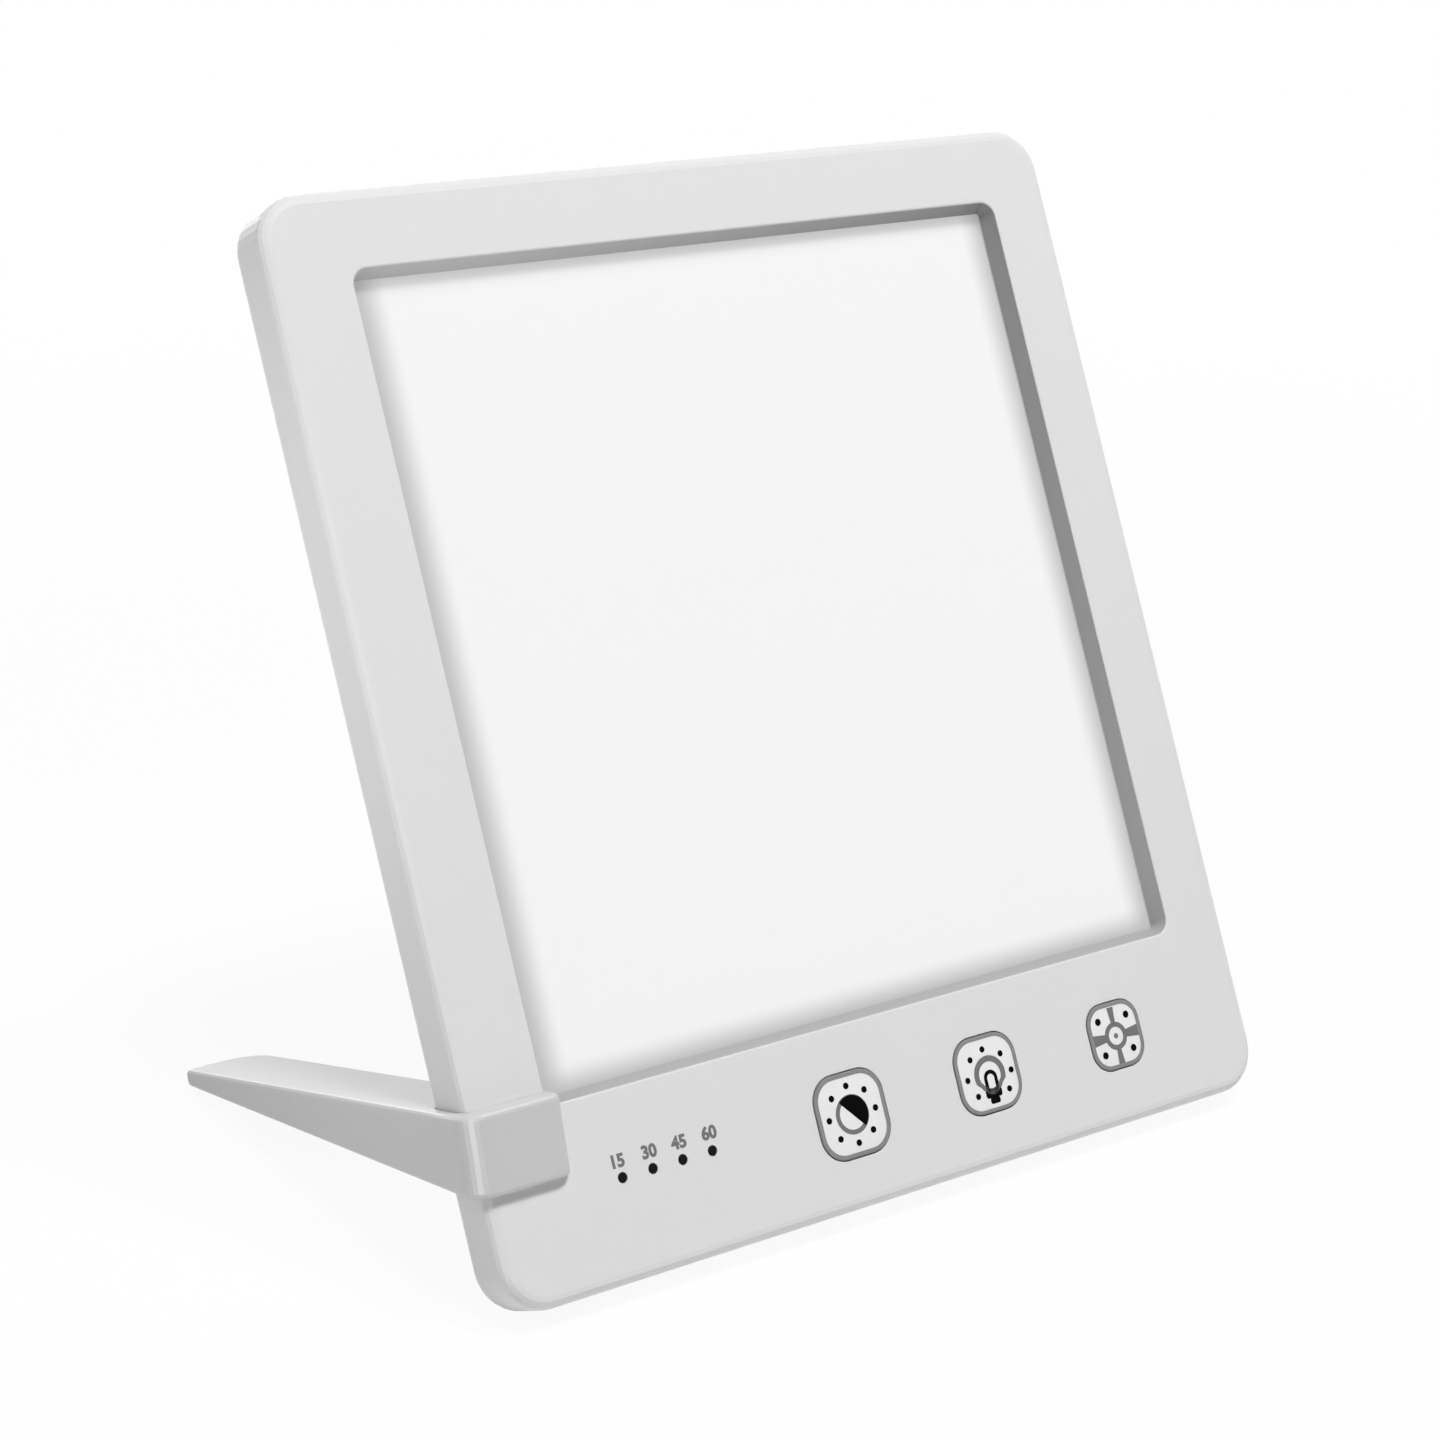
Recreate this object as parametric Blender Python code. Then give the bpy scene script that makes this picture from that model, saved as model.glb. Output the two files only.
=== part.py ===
# Light therapy lamp: a slim edge-lit panel that leans back on one clip-on leg.
# Metres, +Z up. The lamp stands on Z = 0 and faces -Y, with its stand at the left edge.
#
# Almost everything is modelled in the panel's own axes, which lie flat:
# x runs across the panel, y runs up it, and z comes out of its front face.
# The empty panel_axes then leans all of it back by RECLINE.

import math

import bmesh
import bpy
from mathutils import Vector

# Housing
PANEL_WIDTH = 0.200
PANEL_HEIGHT = 0.225
CORNER_RADIUS = 0.010  # corners of the outline
EDGE_RADIUS = 0.0025  # front and rear edges
WALL = 0.0029
FACE_THICKNESS = 0.0022
RECLINE = math.radians(26.69)  # from upright

# Layers behind the window, from the front
REVEAL_DEPTH = 0.0043  # bezel face down to the diffuser
DIFFUSER_THICKNESS = 0.0015
GUIDE_THICKNESS = 0.0025
REFLECTOR_THICKNESS = 0.0003
PLATE_THICKNESS = 0.0012
COVER_THICKNESS = 0.0020

# Named clearances
SEAT_GAP = 0.0003  # between pieces that rest on each other
SIDE_GAP = 0.00025  # round a piece that lies in a pocket
KEY_GAP = 0.0003  # round each key
SCREW_GAP = 0.0002  # round a screw's shank
BOSS_CLEARANCE = 0.0006  # between a screw boss and what stands beside it

# Modelling allowances
OVERRUN = 0.0020  # how far a cutter runs past its wall
SINK = 0.0006  # how far a joined shape runs into its wall
MERGE = 0.000002  # points closer than this are one

# Window and the bays round it
CONTROL_BAND = 0.0384  # bottom edge of the panel to the window
TOP_BAY = 0.0097  # top wall to the backing plate
LEFT_BAY = 0.0087  # left wall to the backing plate
RIGHT_BAY = 0.0066
DIFFUSER_LAP = 0.0040  # diffuser and plate past the window, at top and bottom
GUIDE_LAP = 0.0030  # light guide past the window
WINDOW_RADIUS = 0.0035
REVEAL_SLOPE = 0.0015  # how far the reveal leans in
REVEAL_EDGE = 0.0005  # rounding of the reveal's front edge
REVEAL_FOOT_RADIUS = 0.0008
RIM_WALL = 0.0018  # wall of the reveal

# LED strips
LED_DEPTH = 0.0008
LED_LENGTH = 0.0030
LED_PITCH = 0.0070
STRIP_BOARD = 0.0010

# Keys, each over its own tact switch
KEY_NAMES = ("brightness", "light", "timer")
KEY_WIDTH = 0.0177  # the widest key
KEY_RADIUS = 0.0056
KEY_SIZE_SHARES = (1.0, 0.935, 0.825)  # each key, of the widest
KEY_PITCH_SHARE = 0.1835  # of the panel's width
KEY_MARGIN_SHARE = 0.1920  # last key to the right edge, of the panel's width
KEY_RAISE = 0.0004  # row above the middle of the control band
KEY_PROUD = 0.0002
KEY_EDGE = 0.0003
KEY_TRAVEL = 0.0006
KEY_FLANGE_LAP = 0.0007  # flange behind the face, past the hole
KEY_FLANGE = 0.0010
PRESSER_RADIUS = 0.0016
PRESSER_LENGTH = 0.0006
SWITCH_WIDTH = 0.0052
SWITCH_FLOOR = 0.0003  # below the plunger's bore
SWITCH_CORNER = 0.0004
PLUNGER_RADIUS = 0.0012
PLUNGER_SUNK = 0.0005  # length inside the switch
PLUNGER_GAP = 0.0002

# Indicator lenses
LENS_COUNT = 4
LENS_RADIUS = 0.0010
LENS_GAP = 0.00015
LENS_PITCH_SHARE = 0.03635  # of the panel's width
LENS_MARGIN_SHARE = 0.15575  # first lens to the left edge, of the panel's width
LENS_RAISE = 0.0011  # above the key row
LENS_FLANGE_RADIUS = 0.0017
LENS_FLANGE = 0.0007

# Control board
BOARD_HEIGHT = 0.0200
BOARD_THICKNESS = 0.0012
BOARD_MARGIN = 0.0240  # left end to the panel's left edge
BOARD_RIGHT_MARGIN = 0.0100
INDICATOR_LED_HALF = 0.0008
INDICATOR_LED_HEIGHT = 0.0004
CHIP_HALF = 0.0035
CHIP_HEIGHT = 0.0010
COIL_RADIUS = 0.0034
COIL_HEIGHT = 0.0017
CONNECTOR_HALF_LENGTH = 0.0040
CONNECTOR_HALF_WIDTH = 0.0018
CONNECTOR_HEIGHT = 0.0015
CHIP_PLACE_SHARES = (0.30, 0.62)  # along the board
COIL_PLACE_SHARES = (0.44, 0.76)
CONNECTOR_PLACE_SHARES = (0.06, 0.16)

# Socket for the adapter's plug, in the right side wall
SOCKET_HEIGHT = 0.0076
SOCKET_WIDTH = 0.0100
SOCKET_LENGTH = 0.0130
SOCKET_CORNER = 0.0008
SOCKET_STANDOFF = 0.0014  # body to the side wall
NOSE_RADIUS = 0.0035
NOSE_GAP = 0.0003
NOSE_SETBACK = 0.0003
SOCKET_BORE_RADIUS = 0.0028
SOCKET_BORE_DEPTH = 0.0090
PIN_RADIUS = 0.0010
PIN_SETBACK = 0.0012

# Screws, bosses and posts
SCREW_RADIUS = 0.0011
SCREW_HEAD_RADIUS = 0.0024
SCREW_HEAD_HEIGHT = 0.0013
SCREW_BITE = 0.0060  # shank below its head
SCREW_RIM = 0.0002  # straight edge of a countersunk head
BOSS_WEB = 0.0012
BOSS_END_INSET = 0.0045  # first and last boss to the top and bottom walls
POST_RADIUS = 0.0023
POST_DROP = 0.0062  # board screws below the key row
BOARD_SCREW_RADIUS = 0.0009
BOARD_HEAD_RADIUS = 0.0017
BOARD_HEAD_HEIGHT = 0.0011
BOARD_SCREW_BITE = 0.0045
RIB_THICKNESS = 0.0014
RIB_PLACE_SHARES = (0.22, 0.50, 0.78)  # across the window
SHELF_HALF_LENGTH = 0.0040
SIDE_RIB_SHARES = (0.25, 0.75)  # up the window

# Cover edge
COVER_CHAMFER = 0.0004

# Rubber feet, let into the rear bottom edge
FOOT_PROUD = 0.0004
FOOT_WIDTH = 0.0026
FOOT_HEIGHT = 0.0016
FOOT_LENGTH = 0.0200
FOOT_INSET = 0.0140  # from the side of the panel

# Stand: front lip, side wall and leg in one moulding
LIP_LOW = 0.0240  # up the panel, to the lip's lower edge
LIP_HIGH = 0.0405
LIP_LOW_PROUD = 0.0024
LIP_HIGH_PROUD = 0.0050
LIP_REACH = 0.0195  # across the panel's front
CLIP_SIDE = 0.0030  # outer side of the clip, past the panel's edge
LEG_RIGHT = 0.0150  # hidden side of the leg
LEG_REACH = 0.1348  # front bottom edge of the panel to the tip, level
TIP_HEIGHT = 0.0041
TIP_RAKE = 0.0013
TIP_CLEARANCE = 0.0007
CLIP_CORNER = 0.0055  # upright corner at the lip's left
LIP_CORNER = 0.0024  # upright edge at the lip's right
TIP_NEAR_CORNER = 0.0018  # upright corners of the tip
TIP_FAR_CORNER = 0.0090
STAND_EDGE = 0.0011
CLIP_GAP = 0.0003  # between the clip and the panel
CORE_WALL = 0.0022
CORE_RIB = 0.0016
CORE_POCKETS = 4
CORE_START = 0.0045  # first pocket behind the panel's back
CORE_END = 0.0240  # last pocket to the tip

# Grip pads inside the clip, and the pad under the tip
GRIP_THICKNESS = 0.0008
GRIP_WIDTH = 0.0100
GRIP_HEIGHT = 0.0080
GRIP_INSET = 0.0030  # from the panel's side edge
TIP_PAD_START = 0.0092  # before the tip
TIP_PAD_END = 0.0038
TIP_PAD_SEAT = 0.0008  # depth in the leg
TIP_PAD_LEFT = 0.0080  # from the leg's left side
TIP_PAD_RIGHT = 0.0040  # from its right side

# Leads from the board to the strips
LEAD_RADIUS = 0.0006
LEAD_POINTS = 13

# Smoothness
CORNER_STEPS = 8
EDGE_STEPS = 4
SMALL_STEPS = 4
ROUND_SIDES = 20
SMALL_SIDES = 16
SHARP_ANGLE = math.radians(32)
FLAT_ANGLE = math.radians(1)  # faces closer in direction than this are one flat

# Worked out from the sizes above
panel_depth = (
    REVEAL_DEPTH + DIFFUSER_THICKNESS + GUIDE_THICKNESS + REFLECTOR_THICKNESS
    + PLATE_THICKNESS + COVER_THICKNESS + 4 * SEAT_GAP
)
diffuser_front = -REVEAL_DEPTH
guide_front = diffuser_front - DIFFUSER_THICKNESS - SEAT_GAP
reflector_front = guide_front - GUIDE_THICKNESS - SEAT_GAP
plate_front = reflector_front - REFLECTOR_THICKNESS - SEAT_GAP
plate_back = plate_front - PLATE_THICKNESS
cover_front = plate_back - SEAT_GAP
cover_back = -panel_depth

strip_depth = STRIP_BOARD + LED_DEPTH
strip_space = PLATE_THICKNESS + SEAT_GAP + strip_depth + SEAT_GAP + GUIDE_LAP
plate_left = WALL + LEFT_BAY
plate_right = PANEL_WIDTH - WALL - RIGHT_BAY
window_left = plate_left + strip_space
window_right = plate_right - strip_space
window_low = CONTROL_BAND
window_high = PANEL_HEIGHT - WALL - TOP_BAY - DIFFUSER_LAP
plate_low = window_low - DIFFUSER_LAP
plate_high = window_high + DIFFUSER_LAP
guide_left = window_left - GUIDE_LAP
guide_right = window_right + GUIDE_LAP
guide_low = window_low - GUIDE_LAP
guide_high = window_high + GUIDE_LAP
rim_back = -REVEAL_DEPTH + SEAT_GAP

key_row = CONTROL_BAND / 2 + KEY_RAISE
key_pitch = PANEL_WIDTH * KEY_PITCH_SHARE
last_key = PANEL_WIDTH - PANEL_WIDTH * KEY_MARGIN_SHARE
key_places = [last_key - key_pitch * (len(KEY_NAMES) - 1 - turn) for turn in range(len(KEY_NAMES))]
key_sizes = [(KEY_WIDTH * share, KEY_RADIUS * share) for share in KEY_SIZE_SHARES]
flange_front = -FACE_THICKNESS - SEAT_GAP
flange_back = flange_front - KEY_FLANGE
presser_back = flange_back - PRESSER_LENGTH
plunger_top = presser_back - SEAT_GAP
switch_front = plunger_top - KEY_TRAVEL - SEAT_GAP
switch_bore_end = switch_front - PLUNGER_SUNK - KEY_TRAVEL - SEAT_GAP
switch_back = switch_bore_end - SWITCH_FLOOR
board_front = switch_back - SEAT_GAP
board_back = board_front - BOARD_THICKNESS
board_low = key_row - BOARD_HEIGHT / 2
board_high = key_row + BOARD_HEIGHT / 2
board_left = BOARD_MARGIN
board_right = PANEL_WIDTH - BOARD_RIGHT_MARGIN

lens_row = key_row + LENS_RAISE
lens_places = [
    PANEL_WIDTH * (LENS_MARGIN_SHARE + LENS_PITCH_SHARE * turn) for turn in range(LENS_COUNT)
]
lens_back = board_front + INDICATOR_LED_HEIGHT + SEAT_GAP

socket_front = PANEL_WIDTH - WALL - SOCKET_STANDOFF
socket_back = socket_front - SOCKET_LENGTH
socket_mouth = PANEL_WIDTH - NOSE_SETBACK
socket_middle = (cover_front - FACE_THICKNESS) / 2

boss_radius = (min(LEFT_BAY, RIGHT_BAY) - 2 * BOSS_CLEARANCE) / 2
boss_left = WALL + LEFT_BAY / 2
boss_right = PANEL_WIDTH - WALL - RIGHT_BAY / 2
boss_low = WALL + BOSS_END_INSET
boss_high = PANEL_HEIGHT - WALL - BOSS_END_INSET
boss_back = cover_front + SEAT_GAP
boss_places = [
    (across, up)
    for across in (boss_left, boss_right)
    for up in (boss_low, (boss_low + boss_high) / 2, boss_high)
]
post_places = [place - key_pitch / 2 for place in key_places]
post_row = key_row - POST_DROP

# The side view of the lamp as it stands: distance back, and height, before panel_axes is placed.
lean_back = math.sin(RECLINE)
lean_up = math.cos(RECLINE)
heel_back = EDGE_RADIUS * lean_back + (panel_depth - EDGE_RADIUS) * lean_up
heel_height = EDGE_RADIUS * lean_up - (panel_depth - EDGE_RADIUS) * lean_back
floor_height = heel_height - EDGE_RADIUS - FOOT_PROUD


def to_standing(up, out):
    # A point of the panel's side view, as distance back and height.
    return Vector((up * lean_back - out * lean_up, up * lean_up + out * lean_back))


def to_panel(back, height):
    # The other way: distance back and height, as up the panel and out of its face.
    return Vector((back * lean_back + height * lean_up, -back * lean_up + height * lean_back))


# Shapes

def rounded_ring(left, right, low, high, radius, z, steps):
    # Points of a rounded rectangle, anticlockwise from the start of its lower right corner.
    corners = (
        (right - radius, low + radius, -math.pi / 2),
        (right - radius, high - radius, 0),
        (left + radius, high - radius, math.pi / 2),
        (left + radius, low + radius, math.pi),
    )
    points = []
    for centre_x, centre_y, start in corners:
        for step in range(steps + 1):
            angle = start + math.pi / 2 * step / steps
            x = centre_x + radius * math.cos(angle)
            y = centre_y + radius * math.sin(angle)
            points.append(Vector((x, y, z)))
    return points


def square_ring(width, radius, z, steps, height=None):
    # A rounded rectangle round the origin. A radius of half the width makes it a circle.
    half_x = width / 2
    half_y = (height or width) / 2
    return rounded_ring(-half_x, half_x, -half_y, half_y, radius, z, steps)


def housing_ring(inset, z):
    return rounded_ring(
        inset, PANEL_WIDTH - inset, inset, PANEL_HEIGHT - inset,
        CORNER_RADIUS - inset, z, CORNER_STEPS,
    )


def window_ring(outset, z, radius=None):
    return rounded_ring(
        window_left - outset, window_right + outset, window_low - outset, window_high + outset,
        WINDOW_RADIUS + outset if radius is None else radius, z, CORNER_STEPS,
    )


def add_loft(shape, rings, closed=False):
    # Skins a row of rings that have equal numbers of points. A closed row meets its own start.
    loops = [[shape.verts.new(point) for point in ring] for ring in rings]
    pairs = list(zip(loops, loops[1:]))
    if closed:
        pairs.append((loops[-1], loops[0]))
    for first, second in pairs:
        for turn in range(len(first)):
            after = (turn + 1) % len(first)
            shape.faces.new((first[turn], first[after], second[after], second[turn]))
    if not closed:
        shape.faces.new(loops[0])
        shape.faces.new(loops[-1])


def add_block(shape, left, right, low, high, back, front):
    made = bmesh.ops.create_cube(shape, size=1)["verts"]
    size = Vector((right - left, high - low, front - back))
    middle = Vector((left + right, low + high, back + front)) / 2
    for vert in made:
        vert.co = Vector(part * side for part, side in zip(vert.co, size)) + middle


def add_cylinder(shape, x, y, radius, back, front, sides):
    made = bmesh.ops.create_cone(
        shape, cap_ends=True, segments=sides, radius1=radius, radius2=radius, depth=front - back,
    )["verts"]
    bmesh.ops.translate(shape, verts=made, vec=(x, y, (back + front) / 2))


def add_turned(shape, profile, sides):
    # Spins a profile of (radius, z) points, which starts and ends on the Z axis.
    verts = [shape.verts.new((radius, 0, z)) for radius, z in profile]
    edges = [shape.edges.new(pair) for pair in zip(verts, verts[1:])]
    bmesh.ops.spin(
        shape, geom=verts + edges, cent=(0, 0, 0), axis=(0, 0, 1),
        angle=2 * math.pi, steps=sides, use_merge=True,
    )
    bmesh.ops.remove_doubles(shape, verts=shape.verts, dist=MERGE)


def add_prism(shape, outline, direction):
    # Extrudes a flat outline along direction. Returns the faces at its far end.
    face = shape.faces.new([shape.verts.new(point) for point in outline])
    made = bmesh.ops.extrude_face_region(shape, geom=[face])["geom"]
    moved = [item for item in made if isinstance(item, bmesh.types.BMVert)]
    bmesh.ops.translate(shape, verts=moved, vec=direction)
    return [item for item in made if isinstance(item, bmesh.types.BMFace)]


def add_side_prism(shape, outline, left, right):
    # Extrudes an outline of (y, z) points across the panel.
    points = [Vector((left, up, out)) for up, out in outline]
    return add_prism(shape, points, (right - left, 0, 0))


def webbed_outline(x, y, radius, wall_x, thickness):
    # Plan of a round boss with a web that runs level to a side wall.
    side = -1 if wall_x < x else 1
    half = thickness / 2
    start = math.asin(half / radius)
    points = [Vector((wall_x, y + side * half)), Vector((wall_x, y - side * half))]
    turn = 2 * math.pi - 2 * start
    for step in range(ROUND_SIDES + 1):
        angle = -start - turn * step / ROUND_SIDES
        points.append(Vector((x + side * radius * math.cos(angle), y + side * radius * math.sin(angle))))
    return points


def round_edges(shape, chosen, radius, steps):
    bmesh.ops.bevel(
        shape, geom=chosen, offset=radius, offset_type="OFFSET", segments=steps,
        profile=0.5, affect="EDGES", clamp_overlap=True,
    )


# Objects and materials

def plain_material(name, colour, roughness, metallic=0.0, alpha=1.0):
    material = bpy.data.materials.new(name)
    material.use_nodes = True
    shader = material.node_tree.nodes["Principled BSDF"]
    shader.inputs["Base Color"].default_value = (*colour, 1.0)
    shader.inputs["Roughness"].default_value = roughness
    shader.inputs["Metallic"].default_value = metallic
    shader.inputs["Alpha"].default_value = alpha
    material.diffuse_color = (*colour, alpha)
    return material


def axes(name, parent, place):
    # An empty that carries pieces.
    item = bpy.data.objects.new(name, None)
    bpy.context.scene.collection.objects.link(item)
    item.parent = parent
    item.location = place
    return item


def solid(name, shape, material, parent, place=(0, 0, 0)):
    bmesh.ops.recalc_face_normals(shape, faces=shape.faces)
    mesh = bpy.data.meshes.new(name)
    shape.to_mesh(mesh)
    shape.free()
    mesh.shade_smooth()
    mesh.set_sharp_from_angle(angle=SHARP_ANGLE)
    item = bpy.data.objects.new(name, mesh)
    bpy.context.scene.collection.objects.link(item)
    item.parent = parent
    item.location = place
    if material:
        mesh.materials.append(material)
    return item


def tool(name, shape, parent, place=(0, 0, 0)):
    # A shape that only cuts or joins.
    item = solid(name, shape, None, parent, place)
    item.hide_render = True
    item.display_type = "WIRE"
    return item


def combine(item, other, operation):
    # The Boolean is applied at once, so that the edges it makes can be marked sharp.
    modifier = item.modifiers.new(other.name, "BOOLEAN")
    modifier.operation = operation
    modifier.solver = "EXACT"
    modifier.object = other
    graph = bpy.context.evaluated_depsgraph_get()
    mesh = bpy.data.meshes.new_from_object(item.evaluated_get(graph))
    item.modifiers.clear()
    item.data = mesh
    mesh.set_sharp_from_angle(angle=SHARP_ANGLE)
    bpy.data.objects.remove(other, do_unlink=True)


# Panel housing

def front_frame(parent, material):
    # One closed skin: round the outside, into the cavity, round the window's rim and back.
    rings = []
    for step in range(EDGE_STEPS + 1):
        angle = math.pi / 2 * step / EDGE_STEPS
        inset = EDGE_RADIUS * (1 - math.sin(angle))
        rings.append(housing_ring(inset, -EDGE_RADIUS * (1 - math.cos(angle))))
    for step in range(EDGE_STEPS + 1):
        angle = math.pi / 2 * step / EDGE_STEPS
        inset = EDGE_RADIUS * (1 - math.cos(angle))
        rings.append(housing_ring(inset, cover_back + EDGE_RADIUS * (1 - math.sin(angle))))
    rings.append(housing_ring(WALL, cover_back))
    rings.append(housing_ring(WALL, -FACE_THICKNESS))
    rings.append(window_ring(RIM_WALL, -FACE_THICKNESS))
    rings.append(window_ring(RIM_WALL, rim_back))
    rings.append(window_ring(-REVEAL_SLOPE, rim_back, REVEAL_FOOT_RADIUS))
    for step in range(EDGE_STEPS + 1):
        angle = math.pi / 2 * step / EDGE_STEPS
        outset = REVEAL_EDGE * (1 - math.cos(angle))
        rings.append(window_ring(outset, -REVEAL_EDGE * (1 - math.sin(angle))))
    shape = bmesh.new()
    add_loft(shape, rings, closed=True)
    frame = solid("front_frame", shape, material, parent)
    combine(frame, tool("frame_joins", frame_joins(), parent), "UNION")
    combine(frame, tool("frame_cuts", frame_cuts(), parent), "DIFFERENCE")


def frame_joins():
    # Screw bosses, board posts and the ribs that hold the layers.
    shape = bmesh.new()
    root = -FACE_THICKNESS + SINK
    for x, y in boss_places:
        wall_x = WALL - SINK if x < PANEL_WIDTH / 2 else PANEL_WIDTH - WALL + SINK
        plan = webbed_outline(x, y, boss_radius, wall_x, BOSS_WEB)
        add_prism(shape, [(*point, boss_back) for point in plan], (0, 0, root - boss_back))
    for x in post_places:
        add_cylinder(shape, x, post_row, POST_RADIUS, board_front + SEAT_GAP, root, ROUND_SIDES)
    half = RIB_THICKNESS / 2
    for share in RIB_PLACE_SHARES:
        x = window_left + (window_right - window_left) * share
        wall = PANEL_HEIGHT - WALL + SINK
        add_block(shape, x - half, x + half, plate_high + SEAT_GAP, wall, plate_back, root)
        shelf_top = plate_low - SEAT_GAP
        add_block(
            shape, x - SHELF_HALF_LENGTH, x + SHELF_HALF_LENGTH,
            shelf_top - RIB_THICKNESS, shelf_top, plate_back, root,
        )
    for share in SIDE_RIB_SHARES:
        y = window_low + (window_high - window_low) * share
        add_block(shape, WALL - SINK, plate_left - SEAT_GAP, y - half, y + half, plate_back, root)
        far = PANEL_WIDTH - WALL + SINK
        add_block(shape, plate_right + SEAT_GAP, far, y - half, y + half, plate_back, root)
    return shape


def frame_cuts():
    # Key holes, lens holes, pilot holes, the socket's hole and the seats of the feet.
    shape = bmesh.new()
    for x, (width, radius) in zip(key_places, key_sizes):
        rings = [
            [point + Vector((x, key_row, 0)) for point in square_ring(
                width + 2 * KEY_GAP, radius + KEY_GAP, z, CORNER_STEPS)]
            for z in (-FACE_THICKNESS - OVERRUN, OVERRUN)
        ]
        add_loft(shape, rings)
    for x in lens_places:
        add_cylinder(
            shape, x, lens_row, LENS_RADIUS + LENS_GAP,
            -FACE_THICKNESS - OVERRUN, OVERRUN, SMALL_SIDES,
        )
    pilot_end = cover_back + SCREW_HEAD_HEIGHT + SCREW_BITE + SCREW_GAP
    for x, y in boss_places:
        add_cylinder(shape, x, y, SCREW_RADIUS + SCREW_GAP, boss_back - OVERRUN, pilot_end, SMALL_SIDES)
    for x in post_places:
        add_cylinder(
            shape, x, post_row, BOARD_SCREW_RADIUS + SCREW_GAP,
            board_front - OVERRUN, board_back + BOARD_SCREW_BITE + SCREW_GAP, SMALL_SIDES,
        )
    bore = bmesh.new()
    reach = WALL + 2 * OVERRUN
    add_cylinder(bore, 0, 0, NOSE_RADIUS + NOSE_GAP, -reach / 2, reach / 2, ROUND_SIDES)
    middle = (PANEL_WIDTH - WALL / 2, key_row, socket_middle)
    for vert in bore.verts:
        vert.co = Vector((vert.co.z, vert.co.y, vert.co.x)) + Vector(middle)
    spare = bpy.data.meshes.new("socket_hole")
    bore.to_mesh(spare)
    bore.free()
    shape.from_mesh(spare)
    bpy.data.meshes.remove(spare)
    for left in foot_places:
        add_side_prism(
            shape, foot_outline(SIDE_GAP, OVERRUN), left - SIDE_GAP, left + FOOT_LENGTH + SIDE_GAP,
        )
    return shape


def rear_cover(parent, material):
    inset = WALL + SIDE_GAP
    rings = (
        housing_ring(inset, cover_front),
        housing_ring(inset, cover_back + COVER_CHAMFER),
        housing_ring(inset + COVER_CHAMFER, cover_back),
    )
    shape = bmesh.new()
    add_loft(shape, rings)
    cover = solid("rear_cover", shape, material, parent)
    cuts = bmesh.new()
    for x, y in boss_places:
        rings = [
            [point + Vector((x, y, 0)) for point in square_ring(
                2 * radius, radius, z, SMALL_STEPS)]
            for radius, z in (
                (SCREW_HEAD_RADIUS + SIDE_GAP, cover_back - OVERRUN),
                (SCREW_HEAD_RADIUS + SIDE_GAP, cover_back + SCREW_RIM),
                (SCREW_RADIUS + SIDE_GAP, cover_back + SCREW_HEAD_HEIGHT),
                (SCREW_RADIUS + SIDE_GAP, cover_front + OVERRUN),
            )
        ]
        add_loft(cuts, rings)
    combine(cover, tool("cover_cuts", cuts, parent), "DIFFERENCE")


def cover_screw(name, place, parent, material):
    # A countersunk screw that points out of the panel's back.
    shape = bmesh.new()
    add_turned(shape, (
        (0, SCREW_HEAD_HEIGHT + SCREW_BITE),
        (SCREW_RADIUS, SCREW_HEAD_HEIGHT + SCREW_BITE),
        (SCREW_RADIUS, SCREW_HEAD_HEIGHT),
        (SCREW_HEAD_RADIUS, SCREW_RIM),
        (SCREW_HEAD_RADIUS, 0),
        (0, 0),
    ), SMALL_SIDES)
    solid(name, shape, material, parent, (*place, cover_back))


# Layers behind the window

def sheet(name, bounds, front, thickness, parent, material):
    left, right, low, high = bounds
    shape = bmesh.new()
    add_block(shape, left, right, low, high, front - thickness, front)
    solid(name, shape, material, parent)


def diffuser_gasket(parent, material):
    # A foam ring round the window's rim, from the bezel to the diffuser.
    front = -FACE_THICKNESS - SEAT_GAP
    back = diffuser_front + SEAT_GAP
    near = RIM_WALL + SEAT_GAP
    rings = (
        window_ring(near, front),
        window_ring(DIFFUSER_LAP, front),
        window_ring(DIFFUSER_LAP, back),
        window_ring(near, back),
    )
    shape = bmesh.new()
    add_loft(shape, rings, closed=True)
    solid("diffuser_gasket", shape, material, parent)


def backing_plate(parent, material):
    # A folded tray: its two upright flanges carry the LED strips.
    flange_top = diffuser_front - DIFFUSER_THICKNESS - SEAT_GAP
    inner_left = plate_left + PLATE_THICKNESS
    inner_right = plate_right - PLATE_THICKNESS
    section = (
        (plate_left, flange_top),
        (plate_left, plate_back),
        (plate_right, plate_back),
        (plate_right, flange_top),
        (inner_right, flange_top),
        (inner_right, plate_front),
        (inner_left, plate_front),
        (inner_left, flange_top),
    )
    shape = bmesh.new()
    outline = [Vector((x, plate_low, z)) for x, z in section]
    add_prism(shape, outline, (0, plate_high - plate_low, 0))
    solid("backing_plate", shape, material, parent)


def led_strip(name, back_x, side, parent, material):
    # A comb: the strip's board with a row of LEDs that face the light guide's edge.
    front_x = back_x + side * STRIP_BOARD
    led_x = front_x + side * LED_DEPTH
    count = int((guide_high - guide_low - LED_LENGTH) / LED_PITCH)
    first = (guide_low + guide_high) / 2 - LED_PITCH * (count - 1) / 2
    outline = [(back_x, guide_low), (front_x, guide_low)]
    for turn in range(count):
        low = first + LED_PITCH * turn - LED_LENGTH / 2
        high = low + LED_LENGTH
        outline += [(front_x, low), (led_x, low), (led_x, high), (front_x, high)]
    outline += [(front_x, guide_high), (back_x, guide_high)]
    back = plate_front + SEAT_GAP
    shape = bmesh.new()
    add_prism(shape, [Vector((x, y, back)) for x, y in outline], (0, 0, guide_front - back))
    solid(name, shape, material, parent)


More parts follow.
